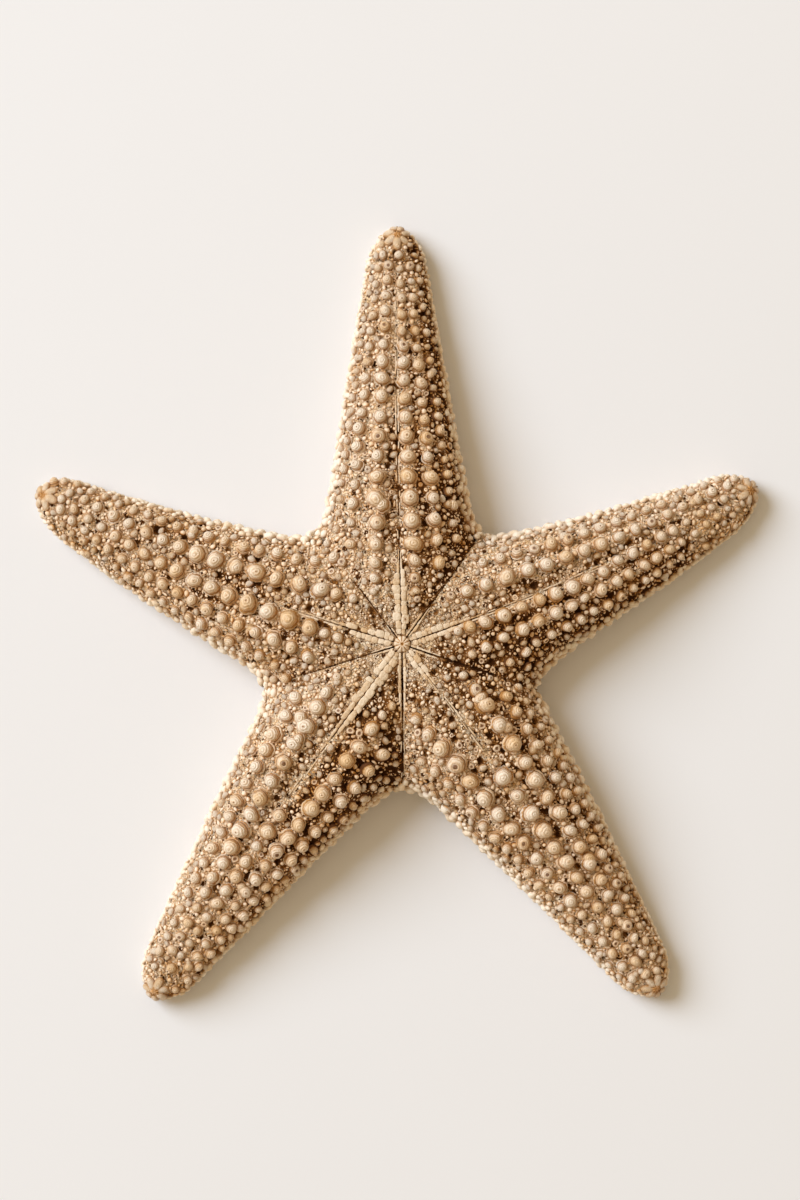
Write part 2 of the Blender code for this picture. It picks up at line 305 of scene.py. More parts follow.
class ArmForm:
    """The skin of one arm, from its smooth form to the level that the dried skin has shrunk to."""

    inset: float = 0.8
    under_inset: float = 0.45
    ridge_rise: float = 0.55
    ridge_half_width: float = 1.5
    probe: float = 2e-3

    def __init__(self, number: int) -> None:
        """Tabulates, for each side, which outline station belongs to which rib foot.

        Args:
            number: its place in ARMS.
        """
        self.number = number
        self.arm = ARMS[number]
        self.heading = math.radians(self.arm.angle)
        self.reach = self.arm.length - TIP_FAN
        self.outline: dict[int, tuple[Array, Array, Array]] = {}
        for side, notch in ((1, NOTCHES[number]), (-1, NOTCHES[number - 1])):
            between = abs(math.remainder(math.radians(notch.angle) - self.heading, math.tau))
            start = notch.distance * math.cos(between)
            half = notch.distance * math.sin(between) - side * self.bend(start)
            flare = half - self.even_half_width(start)
            fade = flare / (1 / math.tan(between) - TAPER)
            along = np.linspace(0, 1, RIB_TABLE)
            station = start + (self.arm.length - start) * (1 - (1 - along) ** 2)
            done = (station - start) / (self.arm.length - start)
            foot = station - start * (1 - done) ** NOTCH_LEAN - TIP_FAN * done**TIP_FAN_POWER
            wide = self.half_width(station) + flare * np.exp((start - station) / fade)
            wide[-1] = 0.0
            self.outline[side] = (foot, station, self.bend(station) + side * wide)

    def bend(self, station: Array | float) -> Array | float:
        """Sideways bow of the centreline: a parabola that is zero at the centre and the tip."""
        t = station / self.arm.length
        return self.arm.bow * 4 * t * (1 - t)

    def even_half_width(self, station: Array | float) -> Array | float:
        """Half width without the rounding of the tip."""
        return TIP_HALF_WIDTH + TAPER * (self.arm.length - station)

    def half_width(self, station: Array) -> Array:
        """Half width of the outline, closed at the tip by an ellipse."""
        t = np.clip((self.arm.length - station) / TIP_ROUNDING, 0, 1)
        return self.even_half_width(station) * np.sqrt(1 - (1 - t) ** 2)

    def crest_height(self, a: Array) -> Array:
        """Height of the crest, eased to the same height in every arm at the disc centre.

        Args:
            a: feet of the ribs.

        Returns:
            One height for each rib.
        """
        at_centre = HEIGHT_PER_HALF_WIDTH * self.even_half_width(0.0)
        ease = np.clip(1 - a / DISC_BLEND, 0, 1) ** 2
        return HEIGHT_PER_HALF_WIDTH * self.even_half_width(a) + (DISC_HEIGHT - at_centre) * ease

    def along_arm(self, pair: tuple[float, float], a: Array) -> Array:
        """A value that changes evenly from the disc to the tip."""
        return pair[0] + (pair[1] - pair[0]) * a / self.reach

    def edge(self, a: Array, side: int) -> Array:
        """Where the rib with its foot at a meets the outline, on one side, in the arm's own axes.

        Args:
            a: feet of the ribs.
            side: 1 for the arm's left, -1 for its right.

        Returns:
            The ways along and across, one row each.
        """
        feet, stations, offsets = self.outline[side]
        station = np.interp(a, feet, stations)
        return np.stack([station, np.interp(station, stations, offsets)])

    def ribs(self, a: Array, v: Array) -> tuple[Array, Array]:
        """The foot of each rib, and the step from there to the outline, in the arm's own axes."""
        foot = np.stack([a, self.bend(a)])
        return foot, np.where(v >= 0, self.edge(a, 1), self.edge(a, -1)) - foot

    def turned(self, x: Array, y: Array) -> tuple[Array, Array]:
        """Arm axes to the disc's axes: a turn by the arm's heading."""
        c, s = math.cos(self.heading), math.sin(self.heading)
        return c * x - s * y, s * x + c * y

    def points(self, a: Array, v: Array) -> Array:
        """The smooth skin, rib by rib.

        Over the back a rib is a squared ellipse. Below its widest line it is a quarter ellipse, then
        a flat land, and then a furrow with a parabola's roof.

        Args:
            a: feet of the ribs.
            v: places round the ribs, from -1 to 1.

        Returns:
            One point for each pair, from the disc centre.
        """
        a, v = np.broadcast_arrays(np.asarray(a, float), np.asarray(v, float))
        foot, rib = self.ribs(a, v)
        length = np.hypot(rib[0], rib[1])
        height = self.crest_height(a)
        widest = WIDEST_AT * height
        w = np.abs(v)
        over = np.clip(w / V_WIDEST, 0, 1) * math.pi / 2
        under = np.clip((w - V_WIDEST) / (V_LAND - V_WIDEST), 0, 1) * math.pi / 2
        furrow = np.minimum(self.along_arm(FURROW_HALF_WIDTH, a) / length, LAND_AT / 2)
        land = np.clip((w - V_LAND) / (V_FURROW - V_LAND), 0, 1)
        inside = np.clip((w - V_FURROW) / (1 - V_FURROW), 0, 1)
        share = np.where(
            w <= V_WIDEST,
            np.sin(over) ** POWER,
            LAND_AT + (1 - LAND_AT) * np.cos(under) - land * (LAND_AT - furrow) - inside * furrow,
        )
        z = np.where(
            w <= V_WIDEST,
            widest + (height - widest) * np.abs(np.cos(over)) ** POWER,
            widest * (1 - np.sin(under)) + self.along_arm(FURROW_DEPTH, a) * (1 - (1 - inside) ** 2),
        )
        return np.stack([*self.turned(*(foot + rib * share)), z], axis=-1)

    def directions(self, a: Array, v: Array) -> tuple[Array, Array, Array]:
        """Directions at places on the smooth skin, from the difference between points on either side.

        Args:
            a: feet of the ribs.
            v: places round the ribs.

        Returns:
            The unit normal, the unit direction round the rib, and the third one, square to both.
        """
        low, high = np.maximum(a - self.probe, 0), np.minimum(a + self.probe, self.reach)
        by_a = self.points(high, v) - self.points(low, v)
        by_v = self.points(a, v + self.probe) - self.points(a, v - self.probe)
        normal, along = unit(np.cross(by_a, by_v)), unit(by_v)
        return normal, along, np.cross(normal, along)

    def ridge(self, a: Array, v: Array) -> Array:
        """How much a place lies on a row's ridge: a bell curve across each row, 0 between the rows.

        Args:
            a: feet of the ribs.
            v: places round the ribs.

        Returns:
            One value for each place, 1 on the ridge of a row of knobs 3 mm wide.
        """
        _, rib = self.ribs(a, v)
        length = np.hypot(rib[0], rib[1])
        share = share_of_v(v)
        total = np.zeros(np.shape(share))
        for row in self.arm.rows:
            offset = (share - np.interp(a, (0, self.reach), row.share)) * length
            strength = np.interp(a, (0, self.reach), row.diameter) / 3.0
            total = np.maximum(total, strength * np.exp(-((offset / self.ridge_half_width) ** 2)))
        return total * (1 - smooth(0.8 * V_WIDEST, V_WIDEST, np.abs(v))) * smooth(4, 26, a + 8 * np.abs(v))

    def level(self, a: Array, v: Array) -> Array:
        """Height of the dried skin over the smooth one: sunk all over, less so on the rows' ridges.

        Args:
            a: feet of the ribs.
            v: places round the ribs.

        Returns:
            One height for each place.
        """
        under = smooth(V_WIDEST, V_LAND, np.abs(v))
        furrow = smooth(V_FURROW, V_FURROW + 0.03, np.abs(v))
        sunk = self.inset + (self.under_inset - self.inset) * under
        return self.ridge_rise * self.ridge(a, v) - sunk * (1 - furrow)

    def seats(self, a: Array, v: Array, size: Array | float) -> Seats:
        """Places on the dried skin.

        Args:
            a: feet of the ribs.
            v: places round the ribs.
            size: size of what sits there.

        Returns:
            The places, one row each.
        """
        a, v = np.atleast_1d(np.asarray(a, float)), np.atleast_1d(np.asarray(v, float))
        normal, along, across = self.directions(a, v)
        point = self.points(a, v) + normal * self.level(a, v)[:, None]
        sizes = np.broadcast_to(size, a.shape).astype(float)
        return Seats(point, normal, along, across, sizes, a, v, np.full(len(a), self.number))

    def chart(self, plan: Array) -> tuple[Array, Array]:
        """(a, v) on the back above plan points, by halving: the rib through a point has no offset to it.

        Args:
            plan: points from the disc centre seen from above, one row each.

        Returns:
            The rib foot and the station round the rib for each point.
        """
        c, s = math.cos(self.heading), math.sin(self.heading)
        x = c * plan[:, 0] + s * plan[:, 1]
        y = -s * plan[:, 0] + c * plan[:, 1]
        side = np.where(y >= self.bend(np.clip(x, 0, self.arm.length)), 1.0, -1.0)
        low, high = np.zeros(len(plan)), np.full(len(plan), self.reach)
        for _ in range(34):
            a = (low + high) / 2
            foot, rib = self.ribs(a, side)
            behind = side * (rib[0] * (y - foot[1]) - rib[1] * (x - foot[0])) < 0
            low, high = np.where(behind, a, low), np.where(behind, high, a)
        foot, rib = self.ribs(a, side)
        share = np.hypot(x - foot[0], y - foot[1]) / np.hypot(rib[0], rib[1])
        return a, v_of_share(side * np.clip(share, 0, 1))

    def rib_lengths(self, a: Array, v: Array) -> Array:
        """Length travelled along each rib of a table, from its first station on.

        Args:
            a: feet of the ribs.
            v: stations of every rib.

        Returns:
            One row of lengths for each rib.
        """
        line = self.points(a[:, None], v[None, :])
        steps = np.linalg.norm(np.diff(line, axis=1), axis=2)
        return np.concatenate([np.zeros((len(a), 1)), np.cumsum(steps, axis=1)], axis=1)


class Body:
    """All five arms together."""

    cells_along: int = 160
    cells_round: int = 48

    def __init__(self) -> None:
        """Makes the five arm forms."""
        self.forms = [ArmForm(i) for i in range(len(ARMS))]

    def seats_at(self, plan: Array, size: Array) -> Seats:
        """Places on the back above plan points: each goes to the arm whose sector it lies in.

        Args:
            plan: points from the disc centre seen from above, one row each.
            size: size of what sits at each.

        Returns:
            The places, in the order of the points.
        """
        angle = np.degrees(np.arctan2(plan[:, 1], plan[:, 0]))
        made, order = [], []
        for i, form in enumerate(self.forms):
            width = (NOTCHES[i].angle - NOTCHES[i - 1].angle) % 360
            mine = np.flatnonzero((angle - NOTCHES[i - 1].angle) % 360 < width)
            made.append(form.seats(*form.chart(plan[mine]), size[mine]))
            order.append(mine)
        return Seats.join(made).pick(np.argsort(np.concatenate(order), kind="stable"))

    def scattered(self, count: int, v_range: tuple[float, float], size: tuple[float, float],
                  rng: np.random.Generator) -> Seats:
        """Random places, even over the area of the skin between two stations on both sides.

        A table of small cells is drawn from by area, and the place in the cell is random.

        Args:
            count: how many in all.
            v_range: lowest and highest |v|.
            size: least and greatest size, drawn evenly.
            rng: the source of random numbers.

        Returns:
            The places, in a random order.
        """
        made = []
        a = [np.linspace(0, form.reach, self.cells_along + 1) for form in self.forms]
        v = np.linspace(*v_range, self.cells_round + 1)
        for i, form in enumerate(self.forms):
            for side in (-1, 1):
                grid = form.points(a[i][:, None], side * v[None, :])
                by_a = np.diff(grid, axis=0)[:, :-1]
                by_v = np.diff(grid, axis=1)[:-1]
                area = np.linalg.norm(np.cross(by_a, by_v), axis=2).ravel()
                made.append((i, side, area))
        total = sum(area.sum() for _, _, area in made)
        parts = []
        for i, side, area in made:
            n = int(round(count * area.sum() / total))
            cell = rng.choice(len(area), n, p=area / area.sum())
            row, column = np.divmod(cell, self.cells_round)
            at = np.interp(row + rng.random(n), np.arange(len(a[i])), a[i])
            vt = side * np.interp(column + rng.random(n), np.arange(len(v)), v)
            parts.append(self.forms[i].seats(at, vt, rng.uniform(*size, n)))
        seats = Seats.join(parts)
        return seats.pick(rng.permutation(len(seats)))


def rows_along(body: Body, v: float, step: float, size: float, start: float) -> Seats:
    """Seats at even steps along the line of one |v| on both sides of every arm.

    Args:
        body: the arms.
        v: the station round the ribs.
        step: the distance from one to the next at the notch; steps shrink with the sizes.
        size: the size at the notch.
        start: how far from the line's beginning the first one sits.

    Returns:
        The seats, arm by arm.
    """
    made = []
    for form in body.forms:
        a = np.linspace(0, form.reach, RIB_TABLE)
        for side in (-1, 1):
            way = travelled(form.points(a, np.full(len(a), side * v)))
            length = way[-1] - start
            count = int(length / (step * (1 - TIP_SHRINK / 2)))
            t = np.arange(count) / count
            wanted = start + length * (t - TIP_SHRINK / 2 * t**2) / (1 - TIP_SHRINK / 2)
            at = np.interp(wanted, way, a)
            made.append(form.seats(at, np.full(count, side * v), size * (1 - TIP_SHRINK * t)))
    return Seats.join(made)


class Crowd:
    """Keeps the things that grow on the skin from growing into each other."""

    def __init__(self) -> None:
        """Starts with nothing placed."""
        self.points: list[Array] = []
        self.sizes: list[float] = []

    def add(self, seats: Seats) -> None:
        """Notes that something of each seat's size stands there."""
        self.points.extend(seats.point)
        self.sizes.extend(seats.size.tolist())

    def settle(self, seats: Seats, closeness: float) -> Seats:
        """Keeps the seats, in their order, that stay clear of all that stands there already.

        Args:
            seats: the places tried.
            closeness: 1 where neighbours may only touch, less where they may overlap.

        Returns:
            The places kept, which are noted too.
        """
        tree = KDTree(len(seats))
        for i, point in enumerate(seats.point):
            tree.insert(point, i)
        tree.balance()
        free = np.ones(len(seats), bool)
        size = seats.size
        most = float(size.max())
        for point, radius in zip(self.points, self.sizes):
            for _, i, distance in tree.find_range(point, closeness * (radius + most)):
                free[i] &= distance > closeness * (radius + size[i])
        kept = []
        for i in range(len(seats)):
            if free[i]:
                kept.append(i)
                for _, k, distance in tree.find_range(seats.point[i], closeness * (size[i] + most)):
                    free[k] &= distance > closeness * (size[i] + size[k])
        chosen = seats.pick(np.array(kept, int))
        self.add(chosen)
        return chosen


@dataclass
class Draft:
    """A mesh in the making: vertices in millimetres from the disc centre, polygons and vertex values."""

    vertices: Array
    polygons: list[Array]
    values: dict[str, Array] = field(default_factory=dict)

    def triangles(self) -> int:
        """How many triangles the polygons make."""
        return sum(len(p) * (p.shape[1] - 2) for p in self.polygons)

    def piece(self, name: str, material: bpy.types.Material, merge: bool = False,
              faceted: bool = False) -> bpy.types.Object:
        """Makes the object, dresses it, and hangs it on the body in place of the solid.

        Points past the solid's box, by the fraction of a millimetre at the tips, are laid on the box.

        Args:
            name: the piece's name.
            material: its finish.
            merge: whether equal points become one, for a skin made of patches.
            faceted: whether its faces show as flat ones.

        Returns:
            The finished object.
        """
        placed = self.vertices + (*DISC_CENTRE, 0.0)
        low, high = (np.array(corner) / METRES for corner in CAD_BOX)
        placed = np.clip(placed, low + OFF_THE_FLOOR, high)
        mesh = bpy.data.meshes.new(name)
        mesh.from_pydata((placed * METRES).tolist(), [], [row for p in self.polygons for row in p.tolist()])
        for key, value in self.values.items():
            layer = mesh.attributes.new(key, "FLOAT", "POINT")
            layer.data.foreach_set("value", np.ascontiguousarray(value, np.float32).ravel())
        if merge:
            bm = bmesh.new()
            bm.from_mesh(mesh)
            bmesh.ops.remove_doubles(bm, verts=bm.verts, dist=MERGE_WITHIN)
            bmesh.ops.recalc_face_normals(bm, faces=bm.faces)
            bm.to_mesh(mesh)
            bm.free()
        if not faceted:
            mesh.shade_smooth()
        mesh.materials.append(material)
        obj = bpy.data.objects.new(name, mesh)
        bpy.context.scene.collection.objects.link(obj)
        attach(obj, BODY)
        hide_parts(NODE)
        LOG.info("%s: %d triangles", name, self.triangles())
        return obj


def join_drafts(parts: list[Draft]) -> Draft:
    """One draft of several, with their points counted on.

    Args:
        parts: the drafts, all with the same values.

    Returns:
        The joined draft.
    """
    starts = np.cumsum([0] + [len(p.vertices) for p in parts])
    polygons = [polygon + start for p, start in zip(parts, starts) for polygon in p.polygons]
    values = {key: np.concatenate([p.values[key] for p in parts]) for key in parts[0].values}
    return Draft(np.concatenate([p.vertices for p in parts]), polygons, values)


@dataclass(frozen=True)
class Profile:
    """The half outline of something that sits on the skin, as (out, up) in shares of its size, foot first.

    It is carried round the seat's normal, and closed by one flat face under the foot and a point on
    top. From above it is a circle at squareness 2, and a rounded square at more.
    """

    rings: tuple[tuple[float, float], ...]
    top: float
    sides: int
    wobble: float
    squareness: float = 2.0


class Shape(Enum):
    """The named outlines of what grows on the skin."""

    KNOB = Profile(
        ((1.22, -0.35), (1.24, 0.02), (0.96, 0.20), (1.00, 0.62), (0.80, 1.12), (0.42, 1.40)), 1.48, 12, 0.04)
    SMALL_KNOB = Profile(
        ((1.16, -0.30), (1.16, 0.04), (1.0, 0.50), (0.78, 0.92), (0.40, 1.14)), 1.20, 8, 0.09)
    RING = Profile(((1.08, -0.20), (1.0, 0.26), (0.76, 0.46), (0.50, 0.34)), 0.02, 8, 0.10)
    GRANULE = Profile(((1.05, -0.20), (1.0, 0.28), (0.68, 0.74)), 0.90, 7, 0.10)
    CHIP = Profile(((1.0, -0.25), (0.95, 0.22), (0.52, 0.50)), 0.56, 6, 0.19)
    SCALE = Profile(((1.04, -0.20), (1.0, 0.36), (0.68, 0.80)), 0.95, 8, 0.08)
    BUMP = Profile(((1.04, -0.20), (1.0, 0.40), (0.78, 0.78), (0.42, 0.96)), 1.00, 9, 0.16)
    PLATE = Profile(((1.0, -0.50), (1.0, 0.04), (0.90, 0.17), (0.55, 0.25)), 0.27, 12, 0.06, 4.0)
    TIP_PLATE = Profile(
        ((1.05, -0.40), (1.04, 0.10), (0.92, 0.38), (0.62, 0.58), (0.30, 0.66)), 0.68, 12, 0.03, 2.6)
    GRAIN = Profile(((1.0, -0.10), (0.80, 0.55)), 0.84, 5, 0.20)
    CRUMB = Profile(((1.0, 0.10),), 0.95, 4, 0.25)
    LAND_SCALE = Profile(((1.05, -0.20), (1.0, 0.24), (0.62, 0.58)), 0.68, 6, 0.10)
    SPINE = Profile(((1.0, -0.4), (1.0, 2.0), (0.66, 3.0)), 3.3, 6, 0.08)
    FOOT = Profile(((0.8, -0.3), (1.0, 1.6)), 1.5, 5, 0.15)


def grow(seats: Seats, shape: Shape, rng: np.random.Generator, lean: float, stretch: float, marks: float,
         values: dict[str, Array], oval: Array | None = None) -> Draft:
    """Carries one profile round the normal of every seat, each a little leant, stretched and uneven.

    A point of ring r and side s is centre + size * (out_r * w_s * (cos s * along + sin s * across)
    + up_r * normal), with w_s the side's random wobble.

    Args:
        seats: where they sit.
        shape: which profile.
        rng: the source of random numbers.
        lean: how far the axis tilts at random.
        stretch: how much longer than wide they are at random.
        marks: the share of them that have a dark pit or prick on top.
        values: further values, one for each seat, kept at its vertices.
        oval: for each seat, how much longer it is along than across; these are not turned at random.

    Returns:
        The draft, with polar (0 on top to 1 at the foot), tint and mark at each vertex.
    """
    profile: Profile = shape.value
    n, m, k = len(seats), profile.sides, len(profile.rings)
    turn = rng.uniform(0, math.tau, (n, 1)) * (oval is None)
    tilt = rng.normal(0, lean, (n, 2))
    axis = unit(seats.normal + tilt[:, :1] * seats.along + tilt[:, 1:] * seats.across)
    first = unit(flattened(seats.along, axis))
    second = np.cross(axis, first)
    one = np.cos(turn) * first + np.sin(turn) * second
    two = np.cross(axis, one)
    longer = 1 + rng.uniform(0, stretch, (n, 1)) if oval is None else np.sqrt(oval)[:, None]
    out, up = np.array(profile.rings).T
    marked = rng.random(n) < marks
    crater = marked & (rng.random(n) < CRATER_SHARE) & (shape is not Shape.RING)
    angle = math.tau * (np.arange(m) + 0.5) / m
    power = profile.squareness
    bulge = (np.abs(np.cos(angle)) ** power + np.abs(np.sin(angle)) ** power) ** (-1 / power)
    side = bulge * (1 + profile.wobble * rng.normal(0, 1, (n, 1, m)))
    radial = out[None, :, None] * side * seats.size[:, None, None]
    ring_up = np.broadcast_to(up[None, :, None], (n, k, m)) * seats.size[:, None, None]
    ring = (
        (radial * np.cos(angle))[..., None] * (one * longer)[:, None, None, :]
        + (radial * np.sin(angle))[..., None] * (two / longer)[:, None, None, :]
        + ring_up[..., None] * axis[:, None, None, :]
    )
    top = axis * ((profile.top - CRATER_DEPTH * crater) * seats.size)[:, None]
    local = np.concatenate([ring.reshape(n, k * m, 3), top[:, None]], axis=1)
    vertices = (local + seats.point[:, None, :]).reshape(-1, 3)

    per = k * m + 1
    here = np.arange(m)
    after = (here + 1) % m
    start = (np.arange(n) * per)[:, None, None]
    quads = np.concatenate([
        np.stack([r * m + here, r * m + after, (r + 1) * m + after, (r + 1) * m + here], axis=1)
        for r in range(k - 1)
    ]) if k > 1 else np.zeros((0, 4), int)
    cap = np.stack([(k - 1) * m + here, (k - 1) * m + after, np.full(m, k * m)], axis=1)
    polygons = [(start + cap[None]).reshape(-1, 3), (start + here[None, None, ::-1]).reshape(-1, m)]
    if k > 1:
        polygons.append((start + quads[None]).reshape(-1, 4))

    steps = np.hypot(np.diff(out), np.diff(up)) if k > 1 else np.zeros(0)
    to_top = math.hypot(out[-1], profile.top - up[-1])
    below_top = np.concatenate([np.cumsum(steps[::-1])[::-1], [0.0]]) + to_top
    polar = np.concatenate([np.repeat(below_top, m), [0.0]]) / below_top[0]
    prick = np.where(marked, rng.uniform(*PRICK_MARK, n), 0.0)
    mark = np.full(n, RING_MARK) if shape is Shape.RING else np.where(crater, CRATER_MARK, prick)
    each = {"tint": rng.random(n), "mark": mark, **values}
    spread = {key: np.repeat(value, per) for key, value in each.items()}
    return Draft(vertices, polygons, {"polar": np.tile(polar, n), **spread})


def disc_faces(sides: int, rings: int) -> list[Array]:
    """Faces of a closed disc: a middle point, rings of points round it, and one point below them all.

    Args:
        sides: points in a ring.
        rings: how many rings.

    Returns:
        The triangles at the middle and below, and the four-sided faces between the rings.
    """
    here = np.arange(sides)
    after = (here + 1) % sides
    last = 1 + (rings - 1) * sides
    cap = np.stack([1 + here, 1 + after, np.zeros(sides, int)], axis=1)
    bottom = np.stack([last + after, last + here, np.full(sides, last + sides)], axis=1)
    inner = 1 + sides * np.arange(rings - 1)[:, None]
    outer = inner + sides
    quads = np.stack([outer + here, outer + after, inner + after, inner + here], axis=-1)
    return [np.concatenate([cap, bottom]), quads.reshape(-1, 4)]


class NodeTree:
    """Short calls to fill a shader or group tree."""

    def __init__(self, tree: bpy.types.NodeTree) -> None:
        """Works on one tree."""
        self.tree = tree

    def add(self, kind: str, inputs: dict | None = None, **settings: object) -> bpy.types.Node:
        """Adds a node, sets its properties, and links or sets its inputs.

        Args:
            kind: the node's type, without its ShaderNode beginning.
            inputs: socket name or number to a value or another socket.
            settings: the node's own properties.

        Returns:
            The node.
        """
        node = self.tree.nodes.new("ShaderNode" + kind if not kind.startswith("Node") else kind)
        for key, value in settings.items():
            setattr(node, key, value)
        return self.fill(node, inputs or {})

    def fill(self, node: bpy.types.Node, inputs: dict) -> bpy.types.Node:
        """Links or sets a node's inputs.

        Args:
            node: the node.
            inputs: socket name or number to a value or another socket.

        Returns:
            The same node.
        """
        for key, value in inputs.items():
            if isinstance(value, bpy.types.NodeSocket):
                self.tree.links.new(value, node.inputs[key])
            else:
                node.inputs[key].default_value = value
        return node

    def math(self, operation: str, *values: object, clamp: bool = False) -> bpy.types.NodeSocket:
        """The result of one sum, product or other operation."""
        return self.add("Math", dict(enumerate(values)), operation=operation, use_clamp=clamp).outputs[0]

    def times(self, one: object, other: object) -> bpy.types.NodeSocket:
        """One value times another."""
        return self.math("MULTIPLY", one, other)

    def spread(self, value: object, share: object, base: object) -> bpy.types.NodeSocket:
        """The value times a share, on top of a base."""
        return self.math("MULTIPLY_ADD", value, share, base)

    def rest(self, value: object) -> bpy.types.NodeSocket:
        """What the value lacks to 1."""
        return self.math("SUBTRACT", 1.0, value)

    def centred(self, value: object) -> bpy.types.NodeSocket:
        """The value less a half."""
        return self.math("SUBTRACT", value, 0.5)

    def mix(self, factor: object, one: object, other: object) -> bpy.types.NodeSocket:
        """A mix of two colours."""
        inputs = {"Factor": factor, 6: one, 7: other}
        return self.add("Mix", inputs, data_type="RGBA", blend_type="MIX", clamp_factor=True).outputs[2]

    def step(self, value: object, low: object, high: object) -> bpy.types.NodeSocket:
        """A smooth 0 to 1 between low and high."""
        inputs = {"Value": value, "From Min": low, "From Max": high, "To Min": 0.0, "To Max": 1.0}
        return self.add("MapRange", inputs, interpolation_type="SMOOTHSTEP").outputs["Result"]

    def noise(self, where: object, scale: object, detail: float, roughness: float) -> bpy.types.NodeSocket:
        """The value of a noise texture."""
        inputs = {"Vector": where, "Scale": scale, "Detail": detail, "Roughness": roughness}
        return self.add("TexNoise", inputs).outputs["Fac"]

    def attribute(self, name: str) -> bpy.types.NodeSocket:
        """A value kept at the piece's vertices."""
        return self.add("Attribute", attribute_name=name).outputs["Fac"]

    def along(self, where: object, direction: tuple[float, float, float]) -> bpy.types.NodeSocket:
        """How far a place lies in a direction."""
        return self.add("VectorMath", {0: where, 1: direction}, operation="DOT_PRODUCT").outputs["Value"]

    def place(self) -> bpy.types.NodeSocket:
        """The place on the piece, in metres."""
        return self.add("TexCoord").outputs["Object"]


def new_group(name: str, takes: dict[str, float], gives: tuple[str, ...]) -> tuple:
    """Starts a shader node group that takes numbers and puts out masks and other numbers.

    Args:
        name: its name.
        takes: input names to default values.
        gives: output names.

    Returns:
        The group, its filler, its input node and its output node.
    """
    group = bpy.data.node_groups.new(name, "ShaderNodeTree")
    for key, value in takes.items():
        socket = group.interface.new_socket(key, in_out="INPUT", socket_type="NodeSocketFloat")
        socket.default_value = value
    for key in gives:
        group.interface.new_socket(key, in_out="OUTPUT", socket_type="NodeSocketFloat")
    tree = NodeTree(group)
    return group, tree, tree.add("NodeGroupInput"), tree.add("NodeGroupOutput")


def straight_cracks(tree: NodeTree, speckles: bpy.types.NodeSocket) -> bpy.types.NodeSocket:
    """1 on the thin cracks between the arms, from the offset to each line through the disc centre.

    Args:
        tree: the finish's tree.
        speckles: the noise that shakes the cracks.

    Returns:
        A mask from 0 to 1.
    """
    centre = (DISC_CENTRE[0] * METRES, DISC_CENTRE[1] * METRES, 0.0)
    place = tree.add("VectorMath", {0: tree.place(), 1: centre}, operation="SUBTRACT").outputs[0]
    deepest: object = 0.0
    for seam in (seam for seam in SEAMS if seam.arm is None):
        east, north = math.cos(math.radians(seam.angle)), math.sin(math.radians(seam.angle))
        s, t = tree.along(place, (east, north, 0)), tree.along(place, (-north, east, 0))
        t = tree.spread(tree.centred(speckles), CRACK_SHAKE * METRES, t)
        line = tree.rest(tree.step(tree.math("ABSOLUTE", t), *(edge * METRES for edge in CRACK_EDGES)))
        ends = tree.rest(tree.step(s, (seam.reach - CRACK_FADE) * METRES, seam.reach * METRES))
        ends = tree.times(ends, tree.math("GREATER_THAN", s, 0.0))
        deepest = tree.math("MAXIMUM", deepest, tree.times(line, ends))
    return deepest


